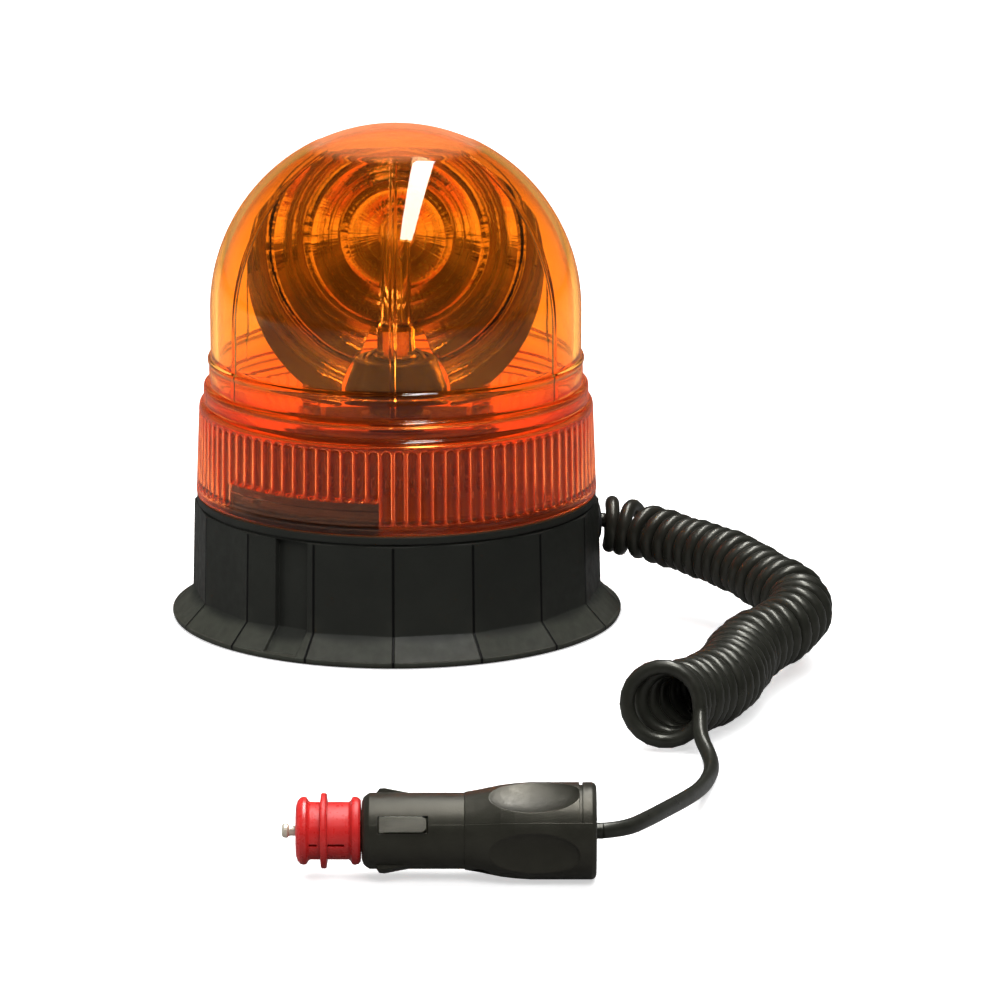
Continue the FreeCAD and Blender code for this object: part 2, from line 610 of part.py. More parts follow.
# ---------------------------------------------------------------- motor
node("motor_can", cut(fuse(cyl(S.motor_rad, 15.0, 42.0, mx, my), cyl(3.3, 41.0, 43.6, mx, my)),
                      cyl(1.06, 30, 50, mx, my), cyl(11.4, 10.0, 40.6, mx, my), *[cyl(1.0, 38, 44, x, y) for x, y in motor_screw_xy]))
tag_xy = [(mx + 6.0, my - 3.0), (mx + 6.0, my + 3.0)]
node("motor_endcap", cut(fuse(cyl(S.motor_rad - 0.1, 13.4, 15.0, mx, my), cyl(11.35, 14.8, 17.0, mx, my),
                              *[box(x - 1.4, x + 1.4, y - 0.3, y + 0.3, 11.0, 13.6) for x, y in tag_xy]), cyl(1.06, 14.6, 18, mx, my)))
node("motor_screws", group(*[screw(x, y, chassis_up.value, 1, 0.95, 1.9, 1.3, 3.4) for x, y in motor_screw_xy]))
node("motor_shaft", fuse(cyl(1.0, 14.8, 61.2, mx, my), cyl(4.5, 18.5, 38.0, mx, my)))
pinion = plain(gear_solid(module, small_n, 15.0, 0.22, 0.85, 1.2, mx, my, 56.5, 61.2), "pinion_blank")
node("drive_pinion", cut(fuse(pinion, cyl(3.4, 52.0, 56.6, mx, my)), cyl(1.0, 50, 63, mx, my)))

# ---------------------------------------------------------------- electrics
board_cuts = [cyl(1.3, 30, 40, x, y) for x, y in spacer_xy]
board_cuts += [cyl(0.42, 30, 40, x, y) for x, y in ((29.2, -8.5), (36.8, -8.5), (36.8, -18.5), (39.2, -18.5))]
pads = [box(22.0, 24.0, -14.0 - 3.0 * s - 1.0, -14.0 - 3.0 * s + 1.0, 28.0, 31.2) for s in (-1, 1)]
node("circuit_board", cut(fuse(box(22.0, 42.0, -25.0, 19.0, 31.0, 32.6), *pads), *board_cuts))
node("board_spacers", group(*[cut(cyl(2.6, 32.6, 42.0, x, y), cyl(1.3, 30, 44, x, y)) for x, y in spacer_xy]))
node("board_screws", group(*[screw(x, y, chassis_up.value, 1, 1.2, 2.2, 1.4, 14.0) for x, y in spacer_xy]))
node("choke", fuse(cut(cyl(5.2, 25.0, 30.9, 33.0, -8.5), cyl(2.2, 24, 31.2, 33.0, -8.5)), cyl(0.4, 30.0, 32.6, 29.2, -8.5), cyl(0.4, 30.0, 32.6, 36.8, -8.5)))
node("capacitor", fuse(cyl(3.6, 21.0, 31.0, 38.0, -18.5), cyl(0.35, 30, 32.6, 36.8, -18.5), cyl(0.35, 30, 32.6, 39.2, -18.5)))
block = box(24.0, 33.0, -1.0, 11.0, 23.5, 31.0)
node("terminal_block", cut(block, *[cyl(1.6, 22.0, 27.0, 28.5, y) for y in (2.0, 8.0)]))

grommet = turned([(2.4, 0), (7.6, 0), (7.6, 2.0), (5.0, 2.2), (5.0, 6.9), (7.2, 7.0), (7.2, 8.4), (6.2, 9.1), (2.4, 9.1)], "grommet")
R_IN = 59.7
node("cable_grommet", grommet, FreeCAD.Placement(V(gx * R_IN, gy * R_IN, 28.0), exit_turn))
lead_r = R_IN + 9.1
inner = cyl(S.wire_dia / 2, 0, 15.0)
inner.Placement = FreeCAD.Placement(V(gx * (R_IN - 7.0), gy * (R_IN - 7.0), 28.0), exit_turn)
tunnel = cyl(S.wire_dia / 2, 0, 14)
tunnel.Placement = FreeCAD.Placement(V(0, 7, 0), FreeCAD.Rotation(V(1, 0, 0), 90))
clamp_block = cut(box(-6.5, 6.5, -3.0, 3.0, -3.2, 9.6), tunnel, *[cyl(1.2, -5.0, 12, x, 0) for x in (-4.6, 4.6)])
clamp_place = FreeCAD.Placement(V(gx * 55.6, gy * 55.6, 28.0), FreeCAD.Rotation(V(0, 0, 1), 11.25 + 90.0))
node("cable_clamp", clamp_block, clamp_place)
clamp_bolts = group(*[screw(x, 0, -3.2, -1, 1.15, 2.1, 1.4, 14.5) for x in (-4.6, 4.6)])
node("clamp_screws", clamp_bolts, clamp_place)
ex = [(gx * lead_r, gy * lead_r, 28.0), (gx * (lead_r + 3.4), gy * (lead_r + 3.4), 27.9), (75.4, 11.6, 25.6)]
node("cord_exit_lead", wire_run(ex, S.wire_dia.value, "cord_exit_lead"))

cx, cy = gx * (R_IN - 7.0), gy * (R_IN - 7.0)
cores = [wire_run([(cx - 0.2, cy + s * 1.1, 28.0), (cx - 6.0, cy + s * 1.1, 27.4), (39.0, 7.0 + s * 2.0, 22.6), (32.0, 5.4 + s * 3.0, 19.2), (28.6, 5.0 + s * 3.0, 20.0), (28.5, 5.0 + s * 3.0, 25.5)], 1.7, "core") for s in (-1, 1)]
node("supply_cable_inner", group(inner, *cores))
leads = [wire_run([(22.5, -14.0 - 3.0 * s, 28.6), (19.0, -13.0 - 3.0 * s, 26.0), (6.0, -6.0 - 2.0 * s, 17.5), (-8.0, 4.0 + 2.0 * s, 13.2), (tag_xy[0][0] + 5.0, 13.5 + 3.0 * s, 11.9), (tag_xy[0][0] + 1.6, my + 3.0 * s, 12.0)], 1.5, "motor_lead") for s in (-1, 1)]
node("motor_leads", group(*leads))
node("bulb_lead", wire_run([(22.6, -2.4, 32.0), (19.0, -2.2, 33.5), (9.0, -1.2, 36.5), (2.6, -0.4, 41.5), (0.6, 0.1, 50.0), (0.0, 0.0, 60.0), (0.1, -0.1, 73.6)], 1.7, "bulb_lead"))

# ---------------------------------------------------------------- lens
lens_outer = fuse(
    cyl(S.lens_rad, S.lens_foot, S.crown_centre),
    ball(S.lens_rad, 0, 0, S.crown_centre),
    turned([(0, S.lens_foot), (S.skirt_low, S.lens_foot), (S.skirt_low, 44.2), (S.skirt_top + 0.2, S.step_three - 1.0), (S.skirt_top - 0.6, S.step_three),
            (S.step_two_rad, S.step_three + 0.4), (S.step_two_rad, S.step_two - 0.7), (S.step_two_rad - 0.7, S.step_two),
            (62.0, S.step_two + 0.3), (62.0, S.bead_mid - 1.2), (62.4, S.bead_mid - 0.6), (62.4, S.bead_mid + 0.5), (61.6, S.bead_mid + 1.3), (60.0, S.bead_mid + 1.3),
            (0, S.bead_mid + 1.3)], "steps"))
lens_inner = fuse(
    cyl(S.lens_bore, 40, S.crown_centre),
    ball(S.lens_bore, 0, 0, S.crown_centre),
    turned([(0, 40), (S.skirt_bore, 40), (S.skirt_bore, S.step_three - 2.6), (S.step_two_rad - 2.4, S.step_three - 2.2), (S.step_two_rad - 2.4, S.step_two - 2.6),
            (59.6, S.step_two - 2.2), (59.6, S.bead_mid), (58.0, S.bead_mid + 0.6), (0, S.bead_mid + 0.6)], "lens_room"))
crown_low = box(-70, 70, -70, 70, 40.0, S.crown_centre)
rib_skin = cut(fuse(cyl(S.lens_bore + 0.4, 80, S.crown_centre), ball(S.lens_bore + 0.4, 0, 0, S.crown_centre)),
               fuse(cyl(S.lens_bore - 0.8, 79, S.crown_centre), ball(S.lens_bore - 0.8, 0, 0, S.crown_centre)))
rib_bars = fuse(*[bar(a, -70, 70, S.rib_width / 2, 80.0, 170.0) for a in (90.0, 30.0, 150.0)])
ribs = cut(common(rib_skin, rib_bars), cyl(27.0, 100, 170), box(-70, 70, -70, 70, 30, 80.2))
node("lens_dome", fuse(cut(lens_outer, lens_inner), ribs))
node("lens_seal", torus(S.seal_mid, S.seal_cord, 44.3))

# ---------------------------------------------------------------- cord
coil_route = [(72.6, 8.9, 27.6), (79.4, 6.0, 27.0), (93.2, -7.6, 25.8), (112.9, -28.2, 24.0), (122.1, -44.8, 21.6), (133.3, -60.2, 19.0),
              (128.1, -83.0, 16.6), (112.4, -102.6, 14.6), (107.7, -125.0, 13.4), (100.4, -147.0, 13.2), (83.6, -170.0, 14.6)]
tail_route = [(95.4, -173.2, 14.6), (95.2, -177.5, 8.1), (98.6, -187.3, 3.2), (98.6, -198.4, 2.6), (96.8, -209.8, 2.9), (95.2, -221.3, 4.6),
              (92.7, -235.6, 6.9), (88.4, -252.7, 9.6), (82.7, -270.2, 12.0), (76.9, -285.4, 13.6), (70.2, -296.9, 14.1), (63.4, -298.5, 14.1)]
node("coiled_cord", tube(coil_route, S.coil_dia.value, "coiled_cord", S.wire_dia.value))
node("cord_tail", tube(tail_route, S.wire_dia.value, "cord_tail"))

# ---------------------------------------------------------------- plug
# local frame: Z runs from the tip to the rear, X points to the front contact, Y is normal to the seam
roll = math.radians(S.plug_roll.value)
m = FreeCAD.Matrix()
xa, ya, za = V(0, -math.cos(roll), math.sin(roll)), V(0, -math.sin(roll), -math.cos(roll)), V(1, 0, 0)
m.A11, m.A21, m.A31 = xa.x, xa.y, xa.z
m.A12, m.A22, m.A32 = ya.x, ya.y, ya.z
m.A13, m.A23, m.A33 = za.x, za.y, za.z
plug_turn = FreeCAD.Placement(m).Rotation
PLUG = FreeCAD.Placement(V(S.plug_x.value, S.plug_y.value, S.plug_z.value), plug_turn)

plug_out = turned([(0, S.plug_front), (8.4, S.plug_front), (9.6, S.plug_front + 0.45), (10.2, S.plug_front + 1.1), (S.plug_rad, S.plug_front + 2.2), (S.plug_rad, 52.2),
                   (11.15, 52.3), (11.6, 55.0), (12.3, 58.5), (13.1, 62.5), (13.6, 66.5), (S.grip_rad, 71.0), (S.grip_rad, S.plug_rear - 1.3),
                   (S.grip_rad - 0.4, S.plug_rear - 0.4), (S.grip_rad - 1.3, S.plug_rear), (0, S.plug_rear)], "plug_out")
plug_in = turned([(0, 20), (S.nose_rad + 0.03, 20), (S.nose_rad + 0.03, 26.0), (8.3, 26.0), (8.3, 53.0), (9.2, 57.0), (9.2, 85.5), (2.4, 85.5), (2.4, 95), (0, 95)], "plug_in")


def ellipsoid(axial, tangential, radial, phi, r, t):
    o = doc.addObject("Part::Ellipsoid", name_of("dimple"))
    o.Radius1 = axial
    o.Radius2 = radial
    o.Radius3 = tangential
    x, y = polar(r, phi)
    o.Placement = FreeCAD.Placement(V(x, y, t), FreeCAD.Rotation(V(0, 0, 1), phi))
    return o


dimples = [ellipsoid(14.2, 8.7, 3.0, phi, 14.1, 70.9) for phi in (41.0, -41.0, 139.0, -139.0)]
windows = [box(s * 8.5 - 3.6, s * 8.5 + 3.6, -2.5, 2.5, 27.7, 41.8) for s in (-1, 1)]
ramps = common(turned([(7.0, 26.9), (10.7, 26.9), (12.1, 27.9), (12.2, 29.4), (10.7, 37.2), (7.0, 37.2)], "ramp"),
               cut(box(-3.2, 3.2, -13, 13, 25, 38), box(-4, 4, -8.6, 8.6, 24, 39)))
plug_boss = cyl(3.2, -10.5, 10.5)
plug_boss.Placement = FreeCAD.Placement(V(0, 10.5, 57.0), FreeCAD.Rotation(V(1, 0, 0), 90))
bore = cyl(1.5, 0, 17.0)
bore.Placement = FreeCAD.Placement(V(0, 14.0, 57.0), FreeCAD.Rotation(V(1, 0, 0), 90))
bore2 = cyl(2.8, 0, 8.0)
bore2.Placement = FreeCAD.Placement(V(0, 15.0, 57.0), FreeCAD.Rotation(V(1, 0, 0), 90))
boss_in = common(plug_boss, cyl(9.6, 50, 64))
plug_solid = cut(fuse(cut(plug_out, plug_in, *dimples), ramps, boss_in), *(windows + [bore, bore2]))
upper_raw = common(plug_solid, box(-20, 20, -20, 0, 15, 95))
lower_raw = common(plug_solid, box(-20, 20, 0, 20, 15, 95))
collar_cut = cut(cyl(20, 84.9, 85.8), cyl(S.grip_rad - 0.75, 84, 87))
node("plug_shell_upper", cut(upper_raw, collar_cut), PLUG)
node("plug_shell_lower", lower_raw, PLUG)
head = cyl(2.6, 0, 1.6)
head.Placement = FreeCAD.Placement(V(0, 8.6, 57.0), FreeCAD.Rotation(V(1, 0, 0), 90))
shank = cyl(1.45, 0, 9.5)
shank.Placement = FreeCAD.Placement(V(0, 7.1, 57.0), FreeCAD.Rotation(V(1, 0, 0), 90))
node("plug_screw", cut(fuse(head, shank), box(-3, 3, 7.9, 9.5, 56.6, 57.4)), PLUG)
node("nose_sleeve", turned([(4.9, 7.0), (5.7, 7.0), (S.nose_rad, 7.4), (S.nose_rad, 26.1), (7.8, 26.1), (7.8, 27.1), (4.9, 27.1)], "sleeve"), PLUG)
node("nose_cap", turned([(1.62, 6.5), (4.2, 6.5), (4.85, 7.1), (4.85, 9.2), (1.62, 9.2)], "cap"), PLUG)
node("tip_contact", turned([(0, 0), (1.3, 0), (1.8, 0.25), (2.05, 0.8), (2.05, 1.7), (1.5, 2.1), (1.5, 9.4), (4.2, 9.4), (4.2, 10.8), (1.6, 10.8), (1.6, 13.0), (0, 13.0)], "tip"), PLUG)
node("contact_spring", plain(helix(3.1, 1.75, 8.6, 0.33, 0, 0, 11.25), "spring"), PLUG)
node("plug_fuse", fuse(cyl(3.0, 23.0, 45.0), cut(cyl(3.2, 20.4, 26.0), cyl(3.0, 22, 27)), cut(cyl(3.2, 42.0, 47.6), cyl(3.0, 41, 46))), PLUG)
node("fuse_contact", fuse(cyl(4.2, 47.6, 48.4), box(-1.2, 1.2, -4.0, 4.0, 47.6, 48.4), box(-1.2, 1.2, 2.6, 3.2, 48.0, 52.0)), PLUG)


def side_contact(sign):
    pad = box(0, 4.3, -2.2, 2.2, 28.0, 41.4)
    leaf = box(0, 0.6, -3.0, 3.0, 27.5, 42.0)
    tip = Part.Face(Part.makePolygon([V(-1, 0.8, 42), V(-1, 3, 39.2), V(-1, 3, 43), V(-1, 0.8, 42)])).extrude(V(8, 0, 0))
    tip2 = Part.Face(Part.makePolygon([V(-1, -0.8, 42), V(-1, -3, 39.2), V(-1, -3, 43), V(-1, -0.8, 42)])).extrude(V(8, 0, 0))
    a, b = plain(tip, "corner"), plain(tip2, "corner")
    step = box(3.6, 5.5, -3.0, 3.0, 27.0, 29.6)
    o = fuse(leaf, cut(pad, a, b, step))
    turn = FreeCAD.Rotation(V(0, 0, 1), 0 if sign > 0 else 180)
    o.Placement = FreeCAD.Placement(V(sign * 7.05, 0, 0), turn)
    return o


node("side_contact_front", side_contact(1), PLUG)
node("side_contact_rear", side_contact(-1), PLUG)
adapter = turned([(2.7, 4.1), (7.2, 4.1), (8.7, 4.6), (9.5, 5.4), (9.75, 6.2), (9.6, 7.1), (8.6, 7.7), (8.25, 8.2), (8.25, 11.0), (S.adapter_rad - 0.3, 11.2), (S.adapter_rad, 11.6),
                  (S.adapter_rad, 12.5), (S.adapter_rad - 0.3, 12.9), (8.25, 13.2), (8.25, 19.2), (8.7, 19.7), (9.6, 20.2), (9.75, 21.0), (9.5, 22.0), (8.8, 22.6), (S.nose_rad + 0.1, 22.6), (S.nose_rad + 0.1, 6.2), (2.7, 6.2)], "adapter")
slots = []
for phi in (41.0, 221.0):
    slots.append(bar(phi, 5.0, 11.5, 0.45, 7.9, 10.2))
    slots.append(bar(phi, 5.0, 11.5, 0.45, 13.3, 18.0))
node("plug_adapter", cut(adapter, *slots), PLUG)
node("plug_cord_end", cyl(S.wire_dia / 2, 70.5, 91.6), PLUG)
clip_ring = cut(fuse(cyl(5.2, 74.0, 78.5), box(-8.6, 8.6, -1.6, 1.6, 74.0, 78.5)), cyl(S.wire_dia / 2, 70, 80))
node("plug_cord_clip", clip_ring, PLUG)
plug_wires = [wire_run([(0.6, 1.0, 70.8), (1.2, 2.4, 67.5), (4.8, 3.2, 62.0), (5.2, 3.2, 55.0), (2.4, 3.0, 51.8), (0.4, 3.8, 50.4)], 1.4, "plug_wire_a"),
              wire_run([(-0.6, -1.0, 70.8), (-1.4, -2.2, 67.0), (-4.6, -3.6, 62.0), (-3.9, -4.9, 54.0), (-3.4, -5.6, 44.0), (-3.3, -5.8, 34.0), (-3.4, -5.6, 27.2)], 1.4, "plug_wire_b")]
node("plug_wires", group(*plug_wires), PLUG)

# ---------------------------------------------------------------- check and write
doc.recompute()
bad = []
for o in doc.Objects:
    if "Invalid" in o.State or "Error" in o.State:
        bad.append("%s (%s): %s" % (o.Name, o.Label, o.State))
for name, o in FINAL.items():
    if o.Shape.isNull() or not o.Shape.isValid() or len(o.Shape.Solids) < 1 or o.Shape.Volume <= 0:
        bad.append("%s: null, invalid or empty shape" % name)
    if len(name) >= 60:
        bad.append("%s: name too long" % name)
if len(FINAL) > 60:
    bad.append("too many nodes: %d" % len(FINAL))
if bad:
    raise RuntimeError("; ".join(bad))
for old in os.listdir("parts"):
    if old.endswith(".step") and old[:-5] not in FINAL:
        os.remove(os.path.join("parts", old))
for name, o in FINAL.items():
    o.Shape.exportStep("parts/%s.step" % name)
    b = o.Shape.BoundBox
    print("%-20s solids %d volume %9.1f  x %.1f..%.1f y %.1f..%.1f z %.1f..%.1f"
          % (name, len(o.Shape.Solids), o.Shape.Volume, b.XMin, b.XMax, b.YMin, b.YMax, b.ZMin, b.ZMax))
print("%d nodes" % len(FINAL))
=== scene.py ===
import bpy
import math
import numpy as np
from mathutils import Vector, Matrix


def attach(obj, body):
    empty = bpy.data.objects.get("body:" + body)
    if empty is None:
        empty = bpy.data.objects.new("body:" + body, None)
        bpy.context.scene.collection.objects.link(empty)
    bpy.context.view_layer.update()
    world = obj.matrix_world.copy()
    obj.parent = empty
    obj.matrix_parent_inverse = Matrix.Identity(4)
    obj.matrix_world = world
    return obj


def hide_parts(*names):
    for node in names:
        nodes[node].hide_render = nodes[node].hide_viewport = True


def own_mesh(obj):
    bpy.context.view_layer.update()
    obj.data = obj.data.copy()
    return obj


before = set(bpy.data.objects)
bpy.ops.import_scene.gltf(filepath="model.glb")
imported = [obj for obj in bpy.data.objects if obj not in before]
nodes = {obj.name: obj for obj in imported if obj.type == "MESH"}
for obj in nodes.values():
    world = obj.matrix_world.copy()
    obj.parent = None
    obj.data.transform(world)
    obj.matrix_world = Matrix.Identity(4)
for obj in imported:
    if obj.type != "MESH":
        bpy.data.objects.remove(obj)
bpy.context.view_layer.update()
scene = bpy.context.scene
MM = 0.001

# ---------------------------------------------------------------- camera
cam_data = bpy.data.cameras.new("camera")
cam_data.lens = 211.0
cam_data.sensor_width = 36.0
cam_data.clip_start = 0.05
cam_data.clip_end = 60.0
cam = bpy.data.objects.new("camera", cam_data)
cam.location = (0.0345, -1.900, 0.504)
cam.rotation_euler = (math.pi / 2 - 0.2405, 0.0, 0.0)
scene.collection.objects.link(cam)
scene.camera = cam
scene.view_settings.view_transform = "Standard"


# ---------------------------------------------------------------- helpers
def new_object(name, mesh):
    o = bpy.data.objects.new(name, mesh)
    scene.collection.objects.link(o)
    return o


def mesh_of(name, verts, faces, smooth=True):
    me = bpy.data.meshes.new(name)
    me.from_pydata([tuple(v) for v in verts], [], [tuple(f) for f in faces])
    me.update()
    me.polygons.foreach_set("use_smooth", [smooth] * len(me.polygons))
    return me


def spline_points(name, control_mm, resolution=48):
    """Points along a NURBS line with these control points, in metres."""
    cu = bpy.data.curves.new(name, "CURVE")
    cu.dimensions = "3D"
    cu.resolution_u = resolution
    sp = cu.splines.new("NURBS")
    sp.points.add(len(control_mm) - 1)
    for p, q in zip(sp.points, control_mm):
        p.co = (q[0] * MM, q[1] * MM, q[2] * MM, 1.0)
    sp.order_u = 3
    sp.use_endpoint_u = True
    ob = bpy.data.objects.new(name, cu)
    me = bpy.data.meshes.new_from_object(ob)
    pts = np.array([v.co[:] for v in me.vertices])
    bpy.data.meshes.remove(me)
    bpy.data.objects.remove(ob)
    bpy.data.curves.remove(cu)
    return pts


def even(pts, step):
    """The same line at even distances."""
    seg = np.linalg.norm(np.diff(pts, axis=0), axis=1)
    s = np.concatenate([[0.0], np.cumsum(seg)])
    n = max(2, int(round(s[-1] / step)) + 1)
    t = np.linspace(0.0, s[-1], n)
    return np.stack([np.interp(t, s, pts[:, k]) for k in range(3)], axis=1), t


def unit(v):
    v = np.asarray(v, float)
    return v / np.maximum(np.linalg.norm(v, axis=-1, keepdims=True), 1e-12)


def sweep(name, pts, radius, sides=14, caps=True, phase=0.0):
    """A round mesh tube along pts; radius may change along it."""
    pts = np.asarray(pts, float)
    n = len(pts)
    tan = unit(np.gradient(pts, axis=0))
    ref = np.array([0.0, 0.0, 1.0]) if abs(tan[0][2]) < 0.9 else np.array([1.0, 0.0, 0.0])
    u = unit(np.cross(tan[0], ref))
    us = [u]
    for i in range(1, n):
        u = us[-1] - tan[i] * np.dot(us[-1], tan[i])
        us.append(unit(u))
    us = np.array(us)
    vs = np.cross(tan, us)
    rad = np.broadcast_to(np.asarray(radius, float), (n,))
    ang = np.linspace(0, 2 * math.pi, sides, endpoint=False) + phase
    ring = (us[:, None, :] * np.cos(ang)[None, :, None] + vs[:, None, :] * np.sin(ang)[None, :, None]) * rad[:, None, None]
    verts = (pts[:, None, :] + ring).reshape(-1, 3)
    faces = []
    for i in range(n - 1):
        a, b = i * sides, (i + 1) * sides
        for j in range(sides):
            k = (j + 1) % sides
            faces.append((a + j, a + k, b + k, b + j))
    if caps:
        faces.append(tuple(range(sides - 1, -1, -1)))
        faces.append(tuple((n - 1) * sides + j for j in range(sides)))
    return new_object(name, mesh_of(name, verts, faces))


def hermite(p0, t0, p1, t1, n):
    s = np.linspace(0, 1, n)[:, None]
    return ((2 * s**3 - 3 * s**2 + 1) * p0 + (s**3 - 2 * s**2 + s) * t0
            + (-2 * s**3 + 3 * s**2) * p1 + (s**3 - s**2) * t1)


# ---------------------------------------------------------------- cord
WIRE = 4.7 * MM
lead_route = [(67.49, 13.42, 28.0), (70.83, 14.09, 27.9), (75.4, 11.6, 25.6)]
coil_route = [(70.9, 8.9, 27.6), (79.4, 6.0, 27.0), (93.2, -7.6, 25.8), (112.9, -28.2, 24.0), (122.1, -44.8, 21.6), (133.3, -60.2, 19.0),
              (128.1, -83.0, 16.6), (112.4, -102.6, 14.6), (107.7, -125.0, 13.4), (100.4, -147.0, 13.2), (83.6, -170.0, 14.6)]
tail_route = [(95.4, -173.2, 14.6), (95.2, -177.5, 8.1), (98.6, -187.3, 3.2), (98.6, -198.4, 2.6), (96.8, -209.8, 2.9), (95.2, -221.3, 4.6),
              (92.7, -235.6, 6.9), (88.4, -252.7, 9.6), (82.7, -270.2, 12.0), (76.9, -285.4, 13.6), (70.2, -296.9, 14.1), (63.4, -298.5, 14.1)]
axis_pts, axis_s = even(spline_points("coil_line", coil_route), 0.0004)
tail_pts, tail_s = even(spline_points("tail_line", tail_route), 0.0008)
lead_pts, lead_s = even(spline_points("lead_line", lead_route), 0.0004)
L = axis_s[-1]
tan = unit(np.gradient(axis_pts, axis=0))
kernel = np.ones(31) / 31.0
pad = np.concatenate([np.repeat(tan[:1], 15, 0), tan, np.repeat(tan[-1:], 15, 0)])
tan = unit(np.stack([np.convolve(pad[:, k], kernel, "valid") for k in range(3)], axis=1))
curl = np.linalg.norm(np.gradient(tan, axis=0), axis=1) / (axis_s[1] - axis_s[0])
# outer diameter of the curl along its axis; the last ring is the widest and the turns behind it narrow like a funnel
knots = [0.0, 0.03, 0.08, 0.16, 0.25, 0.40, 0.50, 0.60, 0.70, 0.80, 0.90, 0.955, 0.98, 1.0]
sizes = [18.8, 19.4, 19.4, 19.3, 19.8, 21.0, 21.6, 22.4, 23.4, 24.2, 24.0, 24.8, 27.2, 29.0]
od = np.interp(axis_s / L, knots, np.array(sizes) * MM)
rad = (od - WIRE) / 2.0
# the first ring stands off the wall, and the last rings turn to face forward
face = unit([-0.10, -0.965, 0.24])
turn_in = np.clip((axis_s - (L - 0.026)) / 0.026, 0, 1)
turn_in = turn_in * turn_in * (3 - 2 * turn_in)
wall_in = np.clip(1.0 - axis_s / 0.016, 0, 1)
frame_a = unit(tan * (1 - turn_in[:, None]) + face * turn_in[:, None])
frame_a = unit(frame_a * (1 - wall_in[:, None]) + np.array([0.992, 0.124, 0.0]) * wall_in[:, None])
wide = np.interp(axis_s, [0.0, 0.0015, 0.0035, 0.016, 0.022, 0.028, L - 0.016, L], [0.50, 0.70, 1.46, 1.42, 1.25, 1.0, 1.0, 1.0])
pitch = WIRE * 1.004 / (1.0 - np.clip(curl * rad, 0, 0.42)) * wide
turns_at = np.concatenate([[0.0], np.cumsum((1.0 / pitch)[:-1] * np.diff(axis_s))])
TURNS = round(turns_at[-1] + 110.0 / 360.0) - 110.0 / 360.0
print("free turns %.2f, drawn %.2f" % (turns_at[-1], TURNS))
turns_at *= TURNS / turns_at[-1]
count = int(TURNS * 22)
q = np.linspace(0, TURNS, count + 1)
s_at = np.interp(q, turns_at, axis_s)
cen = np.stack([np.interp(s_at, axis_s, axis_pts[:, k]) for k in range(3)], axis=1)
aa = unit(np.stack([np.interp(s_at, axis_s, frame_a[:, k]) for k in range(3)], axis=1))
rr = np.interp(s_at, axis_s, rad)
# the turns of a used cord are never quite alike
rr = rr + 0.00022 * np.sin(q * 2.1) + 0.00016 * np.sin(q * 0.73 + 1.3)
up = unit(np.array([0.0, 0.0, 1.0]) - aa * aa[:, 2:3])
side = np.cross(aa, up)
phi = math.radians(-200.0) - 2 * math.pi * q
helix = cen + rr[:, None] * (np.cos(phi)[:, None] * up + np.sin(phi)[:, None] * side)
# the wire leaves the grommet straight, joins the first turn, and leaves the last ring on its right side
start = lead_pts[lead_s <= 0.0024]
d0 = unit(start[-1] - start[-2])
h0 = unit(helix[1] - helix[0])
join_a = hermite(start[-1], d0 * 0.012, helix[0], h0 * 0.012, 16)[1:-1]
cut = int(np.searchsorted(tail_s, 0.0085))
h1 = unit(helix[-1] - helix[-2])
d1 = unit(tail_pts[cut + 1] - tail_pts[cut])
gap = np.linalg.norm(tail_pts[cut] - helix[-1])
join_b = hermite(helix[-1], h1 * gap, tail_pts[cut], d1 * gap, 12)[1:-1]
cord_line = np.concatenate([start, join_a, helix, join_b, tail_pts[cut:]])
cord = sweep("curly_cord", cord_line, WIRE / 2, sides=14)
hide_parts("coiled_cord", "cord_tail", "cord_exit_lead")
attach(cord, "base")
# the spring behind the tip, copied with its own mesh and hung on the base
spring = new_object("tip_spring", nodes["contact_spring"].data.copy())
spring.matrix_world = nodes["contact_spring"].matrix_world.copy()
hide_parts("contact_spring")
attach(spring, "base")
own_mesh(spring)


